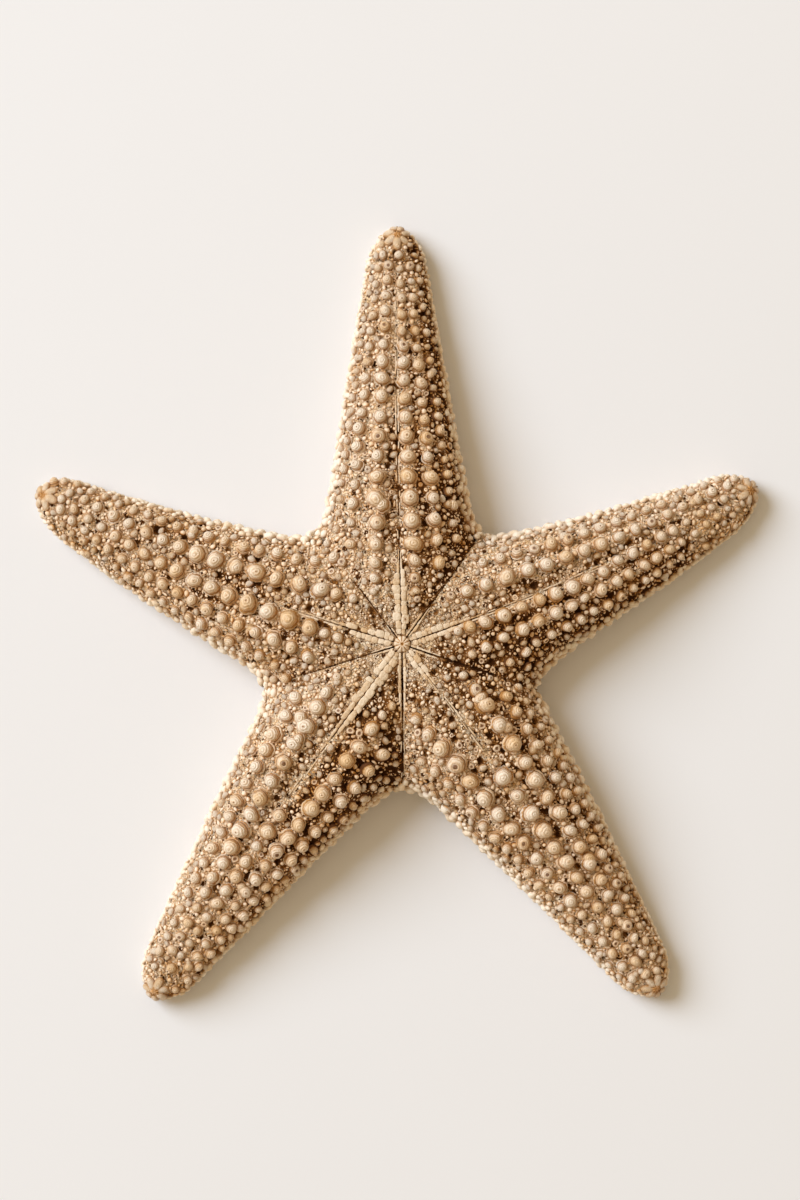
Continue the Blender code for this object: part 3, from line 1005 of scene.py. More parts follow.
class Groups:
    """The effects that several finishes share."""

    def __init__(self) -> None:
        """Builds each group once."""
        self.mottle = self._mottle()
        self.dirt = self._dirt()
        self.rings = self._rings()
        self.packed = self._packed()
        self.pits = self._pits()

    @staticmethod
    def _mottle() -> bpy.types.NodeTree:
        """Patches a few millimetres wide, speckles and grain, from noise at three scales.

        Returns:
            The group.
        """
        takes = {"Patch Scale": 170.0, "Speckle Scale": 1500.0}
        group, tree, start, end = new_group("mottle", takes, ("Patches", "Speckles", "Height"))
        where = tree.place()
        patches = tree.noise(where, start.outputs["Patch Scale"], 3.0, 0.55)
        speckles = tree.noise(where, start.outputs["Speckle Scale"], 3.0, 0.6)
        grain = tree.noise(where, 6500.0, 2.0, 0.6)
        height = tree.spread(grain, 0.45, speckles)
        tree.fill(end, {
            "Patches": tree.step(patches, 0.32, 0.68),
            "Speckles": tree.step(speckles, 0.3, 0.7),
            "Height": height,
        })
        return group

    @staticmethod
    def _dirt() -> bpy.types.NodeTree:
        """Brown dirt and painted shade in the hollows: more where it is low, which is painted shade, where
        the dirt and shade value is high, and in patches.

        Returns:
            The group.
        """
        takes = {"Lowness": 0.5, "Dirt": 0.5, "Patches": 0.5, "Speckles": 0.5}
        group, tree, start, end = new_group("dirt_and_painted_shade", takes, ("Mask",))
        share = tree.spread(start.outputs["Dirt"], 0.90, 0.50)
        amount = tree.times(start.outputs["Lowness"], share)
        amount = tree.spread(start.outputs["Dirt"], 0.45, amount)
        amount = tree.spread(start.outputs["Patches"], 0.30, amount)
        amount = tree.spread(start.outputs["Speckles"], 0.28, amount)
        tree.fill(end, {"Mask": tree.step(amount, 0.72, 1.55)})
        return group

    @staticmethod
    def _rings() -> bpy.types.NodeTree:
        """Fine growth rings round a knob: a sine of the way from its top, shaken a little.

        Returns:
            The group.
        """
        takes = {"Polar": 0.5, "Tint": 0.5, "Speckles": 0.5}
        group, tree, start, end = new_group("growth_rings", takes, ("Shade", "Height"))
        phase = tree.times(start.outputs["Tint"], 9.0)
        phase = tree.spread(start.outputs["Polar"], 40.0, phase)
        phase = tree.spread(start.outputs["Speckles"], 2.4, phase)
        wave = tree.spread(tree.math("SINE", phase), 0.5, 0.5)
        tree.fill(end, {"Shade": tree.step(wave, 0.58, 0.98), "Height": wave})
        return group

    @staticmethod
    def _packed() -> bpy.types.NodeTree:
        """Sand packed close: each grain a shade of its own, with a dark joint round it.

        Returns:
            The group.
        """
        group, tree, start, end = new_group("packed_sand", {"Scale": 1900.0}, ("Shade", "Joint", "Height"))
        inputs = {"Vector": tree.place(), "Scale": start.outputs["Scale"], "Randomness": 1.0}
        cell = tree.add("TexVoronoi", inputs)
        joint = tree.add("TexVoronoi", inputs, feature="DISTANCE_TO_EDGE")
        shade = tree.add("SeparateColor", {0: cell.outputs["Color"]}).outputs[0]
        line = tree.step(joint.outputs["Distance"], 0.02, 0.16)
        tree.fill(end, {"Shade": shade, "Joint": tree.rest(line), "Height": tree.spread(shade, 0.5, line)})
        return group

    @staticmethod
    def _pits() -> bpy.types.NodeTree:
        """Round pits of uneven size, at random, each with a raised rim.

        Returns:
            The group.
        """
        takes = {"Scale": 620.0, "Size": 0.30, "Speckles": 0.5}
        group, tree, start, end = new_group("pits", takes, ("Pit", "Rim"))
        cell = tree.add("TexVoronoi", {"Vector": tree.place(), "Scale": start.outputs["Scale"]})
        chance = tree.add("SeparateColor", {0: cell.outputs["Color"]}).outputs[1]
        radius = tree.times(start.outputs["Size"], tree.spread(chance, 1.0, 0.25))
        away = tree.spread(tree.centred(start.outputs["Speckles"]), 0.09, cell.outputs["Distance"])
        inner, outer = tree.times(radius, 0.78), tree.times(radius, 1.65)
        inside = tree.step(away, inner, radius)
        rim = tree.times(inside, tree.rest(tree.step(away, radius, outer)))
        tree.fill(end, {"Pit": tree.rest(inside), "Rim": rim})
        return group


def new_material(name: str) -> tuple[bpy.types.Material, NodeTree, bpy.types.Node]:
    """A new material.

    Args:
        name: its name.

    Returns:
        The material, the filler of its tree, and its shader.
    """
    material = bpy.data.materials.new(name)
    material.use_nodes = True
    return material, NodeTree(material.node_tree), material.node_tree.nodes["Principled BSDF"]


@dataclass(frozen=True)
class BoneFinish:
    """Dry limestone plates: pale where they stand proud, tan and amber lower down, partly as painted shade,
    and brown in the hollows from dirt and painted shade.
    """

    name: str
    pale: Colour = (0.97, 0.81, 0.62, 1.0)
    tan: Colour = (0.86, 0.57, 0.29, 1.0)
    amber: Colour = (0.58, 0.26, 0.055, 1.0)
    brown: Colour = (0.19, 0.064, 0.012, 1.0)
    roughness: float = 0.50
    specular: float = 0.30
    rings: float = 0.0
    collar: tuple[float, float] = (0.50, 0.90)
    collar_strength: float = 0.75
    collar_end: float = 2.0
    collar_fade: float = 0.08
    neck: float = 0.0
    neck_at: float = 0.72
    neck_edges: tuple[float, float] = (0.01, 0.07)
    stain_and_shade_strength: float = 0.35
    spot_strength: float = 0.85
    lowness: float = 1.0
    patch_scale: float = 170.0
    speckle_scale: float = 1500.0
    bump: float = 0.00010
    tint_spread: float = 0.7
    patch_share: float = 0.42
    speckle_share: float = 0.34
    warmth: tuple[float, float] = (0.35, 1.45)
    ragged: float = 0.18

    def material(self, groups: Groups) -> bpy.types.Material:
        """Builds the material.

        Colour goes from pale to tan by the piece's tint and patches, to amber round the foot, to brown
        in the hollows and in a pit or prick on top. The amber foot of grains, the brown neck line, the brown
        low down and a crater's spot are painted shade, and a tint paler toward the key light is painted
        light.

        Args:
            groups: the shared effects.

        Returns:
            The material.
        """
        material, tree, shader = new_material(self.name)
        polar, tint = tree.attribute("polar"), tree.attribute("tint")
        mark, dirt = tree.attribute("mark"), tree.attribute("dirt")
        scales = {"Patch Scale": self.patch_scale, "Speckle Scale": self.speckle_scale}
        mottle = tree.add("Group", scales, node_tree=groups.mottle)
        patches, speckles = mottle.outputs["Patches"], mottle.outputs["Speckles"]
        inputs = {"Polar": polar, "Tint": tint, "Speckles": speckles}
        rings = tree.add("Group", inputs, node_tree=groups.rings)
        warm = tree.spread(tint, self.tint_spread, tree.times(patches, self.patch_share))
        warm = tree.spread(speckles, self.speckle_share, warm)
        colour = tree.mix(tree.step(warm, *self.warmth), self.pale, self.tan)
        # Amber round the lower part: on knobs it is the boss's own colour, and on grains and granules it is
        # painted shade toward the foot.
        low = tree.spread(tree.centred(speckles), self.ragged, polar)
        beyond = tree.step(low, self.collar_end, self.collar_end + self.collar_fade)
        collar = tree.math("SUBTRACT", tree.step(low, *self.collar), beyond)
        colour = tree.mix(tree.times(collar, self.collar_strength), colour, self.amber)
        # A thin brown line in the crease at a knob's neck: painted shade.
        neck = tree.math("ABSOLUTE", tree.math("SUBTRACT", polar, self.neck_at))
        neck = tree.rest(tree.step(neck, *self.neck_edges))
        colour = tree.mix(tree.times(neck, self.neck), colour, self.brown)
        strength = tree.times(self.rings, tree.spread(collar, 2.4, 1.0))
        colour = tree.mix(tree.times(rings.outputs["Shade"], strength), colour, self.amber)
        # Amber and then brown toward the foot, by lowness, is painted shade where a thing meets the skin; the
        # dirt and shade value adds dirt and more painted shade.
        mask = tree.add("Group", {
            "Lowness": tree.times(tree.step(polar, 0.45, 1.0), self.lowness),
            "Dirt": dirt, "Patches": patches, "Speckles": speckles,
        }, node_tree=groups.dirt)
        colour = tree.mix(tree.step(mask.outputs["Mask"], 0.0, 0.55), colour, self.amber)
        colour = tree.mix(tree.step(mask.outputs["Mask"], 0.40, 1.0), colour, self.brown)
        # A brown spot with an amber ring at a pit or prick on top: a prick is the knob's own mark, while the
        # spot in a crater's hollow and inside a ring crater is painted shade.
        marked = tree.math("GREATER_THAN", mark, 0.01)
        spot = tree.times(tree.rest(tree.step(polar, tree.times(mark, 0.6), mark)), marked)
        stain_and_shade = tree.times(tree.rest(tree.step(polar, mark, tree.times(mark, 2.4))), marked)
        colour = tree.mix(tree.times(stain_and_shade, self.stain_and_shade_strength), colour, self.amber)
        colour = tree.mix(tree.times(spot, self.spot_strength), colour, self.brown)
        height = tree.spread(rings.outputs["Height"], self.rings * 2.2, mottle.outputs["Height"])
        bump = tree.add("Bump", {"Height": height, "Distance": self.bump, "Strength": 1.0})
        rough = tree.math("MULTIPLY_ADD", mask.outputs["Mask"], 0.35, self.roughness, clamp=True)
        tree.fill(shader, {
            "Base Color": colour, "Roughness": rough, "Normal": bump.outputs["Normal"],
            "Specular IOR Level": self.specular,
        })
        return material


class Bone(Enum):
    """The named finishes of the plates, knobs and grains."""

    KNOB = BoneFinish(
        "knob_bone", rings=0.32, roughness=0.42, specular=0.5, tint_spread=0.8, collar=(0.34, 0.72),
        collar_strength=0.66, collar_end=0.76, neck=0.85, bump=0.00016)
    GRANULE = BoneFinish(
        "granule_bone", pale=(0.95, 0.78, 0.58, 1), specular=0.25, collar=(0.30, 0.85), collar_strength=0.85)
    FLANK = BoneFinish(
        "flank_bone", pale=(0.97, 0.84, 0.66, 1), tan=(0.90, 0.67, 0.41, 1), roughness=0.55,
        collar=(0.46, 0.98), collar_strength=0.52, lowness=0.5, bump=0.00018)
    GRAIN = BoneFinish(
        "grain_bone", pale=(0.91, 0.72, 0.51, 1), tan=(0.66, 0.38, 0.15, 1), roughness=0.6, specular=0.15,
        collar=(0.25, 0.90), collar_strength=0.85, tint_spread=0.85, lowness=0.9)
    SEAM = BoneFinish(
        "seam_bone", pale=(0.90, 0.72, 0.51, 1), tan=(0.72, 0.47, 0.24, 1), roughness=0.55,
        collar=(0.50, 1.05), collar_strength=0.7, tint_spread=0.8, bump=0.00024)


@dataclass(frozen=True)
class SkinFinish:
    """The dried skin between the plates: packed sand with pits, darker the lower it lies and in the pits, as
    painted shade, and paler toward the key light, as painted light.
    """

    name: str
    pale: Colour = (0.95, 0.78, 0.56, 1.0)
    sand: Colour = (0.86, 0.57, 0.29, 1.0)
    brown: Colour = (0.38, 0.150, 0.030, 1.0)
    dark: Colour = (0.092, 0.028, 0.004, 1.0)
    roughness: float = 0.85
    specular: float = 0.12
    bump: float = 0.00022
    ragged: float = 0.35
    sunk: tuple[float, float] = (0.02, 0.54)
    highest: float = 0.98
    joint_strength: float = 0.35
    rim_strength: float = 0.6

    def material(self, groups: Groups) -> bpy.types.Material:
        """Builds the material from the relief with its painted light, the dirt with its painted shade, and
        the cracks kept at the vertices, sand and pits.

        Args:
            groups: the shared effects.

        Returns:
            The material.
        """
        material, tree, shader = new_material(self.name)
        relief, dirt, crack = tree.attribute("relief"), tree.attribute("dirt"), tree.attribute("crack")
        mottle = tree.add("Group", {"Patch Scale": 210.0, "Speckle Scale": 1900.0}, node_tree=groups.mottle)
        patches, speckles = mottle.outputs["Patches"], mottle.outputs["Speckles"]
        sand = tree.add("Group", {"Scale": 1750.0}, node_tree=groups.packed)
        wide = tree.add("Group", {"Scale": 560.0, "Size": 0.30, "Speckles": speckles}, node_tree=groups.pits)
        fine = tree.add("Group", {"Scale": 1250.0, "Size": 0.33, "Speckles": speckles}, node_tree=groups.pits)
        pit = tree.math("MAXIMUM", wide.outputs["Pit"], tree.times(fine.outputs["Pit"], 0.8))
        rim = tree.math("MAXIMUM", wide.outputs["Rim"], tree.times(fine.outputs["Rim"], 0.7))
        colour = tree.mix(sand.outputs["Shade"], self.pale, self.sand)
        # Low relief turns brown, which paints shade in the hollows; relief raised toward the key light paints
        # light there.
        high = tree.spread(tree.centred(speckles), self.ragged, relief)
        colour = tree.mix(tree.step(high, *self.sunk), self.brown, colour)
        colour = tree.mix(tree.times(sand.outputs["Joint"], self.joint_strength), colour, self.brown)
        colour = tree.mix(tree.times(rim, self.rim_strength), colour, self.pale)
        # The mask is dirt with painted shade where the skin lies low; the pits are painted brown and dark as
        # shade inside them; the cracks are dark joints.
        mask = tree.add("Group", {
            "Lowness": tree.math("SUBTRACT", self.highest, relief),
            "Dirt": dirt, "Patches": patches, "Speckles": speckles,
        }, node_tree=groups.dirt)
        hole = tree.math("MAXIMUM", mask.outputs["Mask"], pit)
        hole = tree.math("MAXIMUM", hole, tree.step(crack, 0.30, 0.90))
        line = straight_cracks(tree, speckles)
        line = tree.times(line, tree.step(speckles, 0.05, 0.45))
        hole = tree.math("MAXIMUM", hole, tree.times(line, tree.spread(patches, 0.4, 0.6)))
        colour = tree.mix(tree.step(hole, 0.0, 0.5), colour, self.brown)
        colour = tree.mix(tree.step(hole, 0.35, 1.0), colour, self.dark)
        height = tree.spread(mottle.outputs["Height"], 0.5, sand.outputs["Height"])
        height = tree.spread(pit, -2.2, height)
        height = tree.spread(rim, 0.8, height)
        height = tree.spread(line, -2.0, height)
        bump = tree.add("Bump", {"Height": height, "Distance": self.bump, "Strength": 1.0})
        tree.fill(shader, {
            "Base Color": colour, "Roughness": self.roughness, "Normal": bump.outputs["Normal"],
            "Specular IOR Level": self.specular,
        })
        return material


@dataclass
class Skin:
    """The dried skin itself, one closed surface with ridges under the rows, lumps and pits."""

    body: Body
    bands: "SeamBands"
    ribs: int = 158
    back_steps: int = 44
    near_seam: tuple[float, ...] = (0.0, 0.10, 0.26)
    crack_depth: float = 0.45
    under_steps: int = 5
    land_steps: int = 6
    furrow_steps: int = 5
    lump: float = 0.30
    pit_depth: float = 0.80

    def stations(self, form: ArmForm, a: Array) -> Array:
        """Stations of every rib, spaced by length on the back and by v below, from -1 to 1.

        Args:
            form: the arm.
            a: feet of its ribs.

        Returns:
            One row of stations for each rib.
        """
        table = np.linspace(0, V_WIDEST, 90)
        under = np.concatenate([
            np.linspace(V_WIDEST, V_LAND, self.under_steps + 1)[1:],
            np.linspace(V_LAND, V_FURROW, self.land_steps + 1)[1:],
            np.linspace(V_FURROW, 1, self.furrow_steps + 1)[1:],
        ])
        halves = []
        for side in (-1, 1):
            length = form.rib_lengths(a, side * table)
            even = np.linspace(0, 1, self.back_steps - 1)[1:]
            back = []
            for row in length:
                close = np.minimum(np.array(self.near_seam), row[-1] * 0.004 * np.arange(3))
                places = np.concatenate([close, close[-1] + even * (row[-1] - close[-1])])
                back.append(np.interp(places, row, table))
            back = np.stack(back)
            halves.append(side * np.concatenate([back, np.broadcast_to(under, (len(a), len(under)))], axis=1))
        return np.concatenate([halves[0][:, ::-1], halves[1][:, 1:]], axis=1)

    def draft(self) -> Draft:
        """One grid for each arm, sunk to the dried level, with lumps added and pits taken out.

        Returns:
            The five grids together, with relief and painted light, dirt and painted shade, and crack at each
            vertex.
        """
        parts = []
        for form in self.body.forms:
            even = form.reach * (1 - (1 - np.linspace(0, 1, self.ribs - 1)) ** 1.25)
            a = np.concatenate([self.near_seam, even[1:]])
            v = self.stations(form, a)
            rows, columns = v.shape
            flat_a, flat_v = np.repeat(a, columns), v.ravel()
            smooth_skin = form.points(flat_a, flat_v)
            normal, _, _ = form.directions(flat_a, np.clip(flat_v, -0.998, 0.998))
            w = np.abs(flat_v)
            on_edge = (w > 0.999) | (flat_a < 1e-9) | (flat_a > form.reach - 1e-9)
            level = form.level(flat_a, flat_v)
            rough = self.lump * (cloud(smooth_skin, 1.7, 3) + 0.6 * cloud(smooth_skin, 0.8, 4) - 0.8)
            pits = pits_at(smooth_skin)
            calm = 1 - smooth(V_LAND, V_FURROW, w)
            crack = self.bands.cracks(smooth_skin) * (w < V_WIDEST)
            shift = level + (rough - self.pit_depth * pits) * calm - self.crack_depth * crack
            outward = np.where(on_edge[:, None], self.edge_normal(flat_v), normal)
            vertices = smooth_skin + outward * shift[:, None]
            grid = np.arange(rows * columns).reshape(rows, columns)
            quads = np.stack([grid[:-1, :-1], grid[1:, :-1], grid[1:, 1:], grid[:-1, 1:]], axis=-1)
            # Relief falls in the hollows and pits, so painted shade darkens them, and it rises on the side
            # turned toward the key light, so painted light makes that side paler.
            raised = 0.4 * form.ridge(flat_a, flat_v) + 1.2 * rough - 0.9 * pits
            relief = np.clip(0.56 + raised + 0.42 * facing_key_light(form, flat_v), 0, 1)
            # Below the widest line the relief is low, and lowest in the furrow: painted shade under the arm.
            below = 0.45 * (1 - 0.8 * smooth(V_FURROW - 0.02, V_FURROW + 0.06, w))
            relief = np.where(w > V_LAND, below, relief)
            dirt = dirt_and_shade_at(form, flat_a, flat_v, smooth_skin)
            values = {"relief": relief, "dirt": dirt, "crack": crack}
            parts.append(Draft(vertices, [quads.reshape(-1, 4)], values))
        return join_drafts(parts)

    @staticmethod
    def edge_normal(v: Array) -> Array:
        """The direction in which shared edge points shift: up on the back, down below, none between.

        Args:
            v: places round the ribs.

        Returns:
            One direction for each place.
        """
        w = np.abs(v)
        up = 1 - smooth(0.8 * V_WIDEST, V_WIDEST, w) - smooth(V_WIDEST, V_LAND, w)
        return np.stack([np.zeros(len(v)), np.zeros(len(v)), np.where(w > V_FURROW + 0.03, 0, up)], axis=1)


def facing_key_light(form: ArmForm, v: Array) -> Array:
    """How much a place lies on the side turned toward the key light, from -1 to 1: its share of the rib times
    a cosine. It paints light on that side and shade on the other.
    """
    east, north = KEY_LIGHT_SIDE
    return share_of_v(v) * (east * -math.sin(form.heading) + north * math.cos(form.heading))


def dirt_and_shade_at(form: ArmForm, a: Array, v: Array, points: Array) -> Array:
    """How much dirt and painted shade lie at a place: most between the inner rows, in clouds, least on the
    flanks.
    There is more on the side turned away from the key light, as painted shade, and less on the side and
    the part of the disc turned toward it, as painted light.

    Args:
        form: the arm.
        a: feet of the ribs.
        v: places round the ribs.
        points: the places themselves, in millimetres.

    Returns:
        One value from 0 to 1 for each place.
    """
    valley = 1 - np.clip(1.3 * form.ridge(a, v), 0, 1)
    inner = 1 - smooth(0.26, 0.46, np.abs(v))
    near = (1 - 0.3 * smooth(30, 70, a)) * (0.5 + 0.5 * smooth(8, 26, a))
    # Painted shade on the side turned away from the key light, and painted light on the side and on the part
    # of the disc turned toward it.
    side = np.clip(1.1 - 1.6 * facing_key_light(form, v), 0.15, 2.3)
    toward = (points[:, 0] * KEY_LIGHT_SIDE[0] + points[:, 1] * KEY_LIGHT_SIDE[1]) / 26
    side = side * (1 - 0.45 * np.clip(toward, -0.25, 1) * (1 - smooth(20, 40, a)))
    clouds = 0.35 + 0.95 * cloud(points, 6.5, 11)
    return np.clip(clouds * valley * (0.15 + 0.85 * inner) * near * side, 0, 1)


@dataclass(frozen=True)
class Seam:
    """One of the ten seams that meet at the centre, with a band of pale plates along either side.

    A seam along an arm follows its centreline, and one between two arms runs straight to the notch.
    The band thins from the way thin_from on, and is as narrow as thin from thin_to on.
    """

    arm: int | None
    angle: float
    band: float
    thin_from: float
    thin_to: float
    thin: float
    reach: float

    @property
    def wedge(self) -> float:
        """How fast the band may widen from the centre, where its neighbours leave little room."""
        return 0.17 if self.arm is None else 0.40


SEAMS = (
    Seam(0, 90.7, 1.55, 10.0, 17.0, 0.30, 66.0),
    Seam(1, 157.4, 1.35, 8.0, 15.0, 0.34, 25.0),
    Seam(2, -125.4, 1.6, 10.0, 26.0, 0.34, 36.0),
    Seam(3, -53.7, 1.25, 4.5, 10.0, 0.32, 26.0),
    Seam(4, 23.8, 1.25, 7.0, 16.0, 0.30, 42.0),
    Seam(None, 127.5, 0.25, 3.0, 5.0, 0.0, 17.0),
    Seam(None, 197.5, 0.35, 4.0, 7.0, 0.0, 22.0),
    Seam(None, 270.5, 0.70, 6.0, 15.0, 0.20, 26.0),
    Seam(None, 341.2, 0.40, 5.0, 9.0, 0.0, 24.0),
    Seam(None, 54.0, 0.50, 5.0, 10.0, 0.0, 24.0),
)


@dataclass
class SeamBands:
    """The small joined plates in chains along both sides of every seam, and the crack between them."""

    body: Body
    first: float = 1.75
    plate: float = 1.45
    gap: float = 0.055
    crack: float = 0.12

    def width(self, seam: Seam, s: Array) -> Array:
        """Width of a band at a way s from the centre: it widens, holds, and thins again."""
        full = np.minimum(seam.band, seam.wedge * s)
        return full + (seam.thin - full) * smooth(seam.thin_from, seam.thin_to, s)

    def plan(self, seam: Seam, s: Array, t: Array) -> Array:
        """Plan points beside a seam.

        Args:
            seam: the seam.
            s: the way along it.
            t: the way to its left.

        Returns:
            The points, one row each.
        """
        if seam.arm is None:
            c, w = math.cos(math.radians(seam.angle)), math.sin(math.radians(seam.angle))
            return np.stack([s * c - t * w, s * w + t * c], axis=-1)
        form = self.body.forms[seam.arm]
        return np.stack(form.turned(s, form.bend(s) + t), axis=-1)

    def way(self, seam: Seam, points: Array) -> tuple[Array, Array]:
        """The way along a seam, and the offset to its left, of points.

        Args:
            seam: the seam.
            points: the points, one row each.

        Returns:
            The two ways for each point.
        """
        angle = math.radians(seam.angle)
        s = points[:, 0] * math.cos(angle) + points[:, 1] * math.sin(angle)
        t = points[:, 1] * math.cos(angle) - points[:, 0] * math.sin(angle)
        if seam.arm is not None:
            t = t - self.body.forms[seam.arm].bend(np.clip(s, 0, seam.reach))
        return s, t

    def clearance(self, points: Array) -> tuple[Array, Array]:
        """How far points lie from the seams.

        Args:
            points: the points, one row each.

        Returns:
            The way to the nearest band's outer edge, below 0 on a band, and the way to the nearest crack.
        """
        nearest, crack = np.full(len(points), np.inf), np.full(len(points), np.inf)
        for seam in SEAMS:
            s, t = self.way(seam, points)
            beyond = np.maximum(s - seam.reach, 0) + np.maximum(-s, 0)
            clear = np.hypot(np.abs(t), beyond) - self.gap - self.width(seam, np.clip(s, 0, seam.reach))
            nearest = np.minimum(nearest, clear)
            crack = np.minimum(crack, np.hypot(t, beyond))
        return nearest, crack

    def cracks(self, points: Array) -> Array:
        """1 on a seam's line, falling off as a bell curve to either side, and fading where it ends.

        Args:
            points: the points, one row each.

        Returns:
            One value from 0 to 1 for each point.
        """
        deepest = np.zeros(len(points))
        for seam in SEAMS:
            s, t = self.way(seam, points)
            thinner = 1 - 0.5 * smooth(seam.thin_from, seam.thin_to, s)
            fade = thinner * (1 - smooth(seam.reach - 6, seam.reach, s))
            dotted = 0.35 + 0.65 * smooth(0.25, 0.6, cloud(points, 0.55, 31))
            here = np.exp(-((t / self.crack) ** 2)) * fade * dotted * (s > -0.5)
            deepest = np.maximum(deepest, here)
        return deepest

    def build(self, looks: "Looks", rng: np.random.Generator) -> None:
        """Lays plates of uneven length end to end along each side of each seam.

        Args:
            looks: the finishes.
            rng: the source of random numbers.
        """
        plan, ahead, sizes = [], [], []
        for seam in SEAMS:
            for side in (-1, 1):
                s = self.first + rng.uniform(0, 0.3)
                while s < seam.reach - 0.5:
                    long = self.plate * min(1.0, 0.5 + 0.09 * s) * rng.uniform(0.55, 1.5)
                    middle = s + long / 2
                    wide = float(self.width(seam, middle)) * rng.uniform(0.66, 1.12)
                    if wide > 0.10 and rng.random() < (0.93 if middle < seam.thin_to else 0.62):
                        t = side * (self.gap + wide / 2)
                        pair = self.plan(seam, np.array([middle - 0.2, middle, middle + 0.2]), np.full(3, t))
                        plan.append(pair[1])
                        ahead.append(pair[2] - pair[0])
                        sizes.append((long / 2 * 1.12, wide / 2))
                    s += long
        half_long, half_wide = np.array(sizes).T
        seats = self.body.seats_at(np.array(plan), np.sqrt(half_long * half_wide))
        forward = np.concatenate([np.array(ahead), np.zeros((len(plan), 1))], axis=1)
        seats.along = flattened(forward, seats.normal)
        seats.point = seats.point + seats.normal * rng.uniform(0.08, 0.24, len(plan))[:, None]
        values = {"dirt": rng.uniform(0.25, 0.85, len(seats))}
        draft = grow(seats, Shape.PLATE, rng, 0.05, 0.0, 0.06, values, half_long / half_wide)
        draft.piece("seam_plates", looks.bones[Bone.SEAM])


@dataclass(frozen=True)
class Kind:
    """One kind of thing that grows on the skin: its piece's name, its shape and finish, how far each one
    leans and stretches at random, the share with a pit or prick on top, and how much more dirt and painted
    shade it takes."""

    name: str
    shape: Shape
    bone: Bone
    lean: float
    stretch: float
    marks: float = 0.0
    dirt_and_shade_gain: float = 1.0
    faceted: bool = False


@dataclass(frozen=True)
class Sowing:
    """How things are strewn: how many are tried, lowest and highest |v|, least and greatest size, and
    their closeness, which is 1 where neighbours may only touch and less where they may overlap."""

    tries: int
    band: tuple[float, float]
    size: tuple[float, float]
    closeness: float


ROW_KNOBS = Kind("row_knobs", Shape.KNOB, Bone.KNOB, 0.12, 0.12, marks=0.40)
MARGIN_SCALES = Kind("margin_scales", Shape.BUMP, Bone.FLANK, 0.22, 0.30, marks=0.05)
SMALL_KNOBS = Kind("small_knobs", Shape.SMALL_KNOB, Bone.KNOB, 0.22, 0.20, marks=0.25)
RING_CRATERS = Kind("ring_craters", Shape.RING, Bone.FLANK, 0.14, 0.15)
MIDDLE = Sowing(3600, (0.0, 0.47), (0.52, 0.80), 1.10)
CRATERS = Sowing(420, (0.0, 0.48), (0.40, 0.58), 1.0)
LANDS = Sowing(15000, (V_LAND - 0.01, V_FURROW - 0.012), (0.50, 0.72), 0.86)
FILLINGS = (
    (Kind("flank_scales", Shape.SCALE, Bone.FLANK, 0.16, 0.22, marks=0.05),
     Sowing(9000, (0.36, V_LAND - 0.01), (0.50, 0.80), 0.82)),
    (Kind("granules", Shape.GRANULE, Bone.GRANULE, 0.2, 0.2, marks=0.08, dirt_and_shade_gain=1.3),
     Sowing(7000, (0.0, 0.50), (0.36, 0.60), 0.96)),
    (Kind("chips", Shape.CHIP, Bone.GRANULE, 0.34, 0.5, dirt_and_shade_gain=1.5, faceted=True),
     Sowing(9000, (0.0, 0.56), (0.30, 0.50), 0.90)),
    (Kind("grains", Shape.GRAIN, Bone.GRAIN, 0.35, 0.45, dirt_and_shade_gain=1.6, faceted=True),
     Sowing(36000, (0.0, 0.60), (0.22, 0.36), 0.84)),
    (Kind("crumbs", Shape.CRUMB, Bone.GRAIN, 0.5, 0.7, dirt_and_shade_gain=1.6, faceted=True),
     Sowing(80000, (0.0, 0.58), (0.12, 0.22), 0.84)),
)


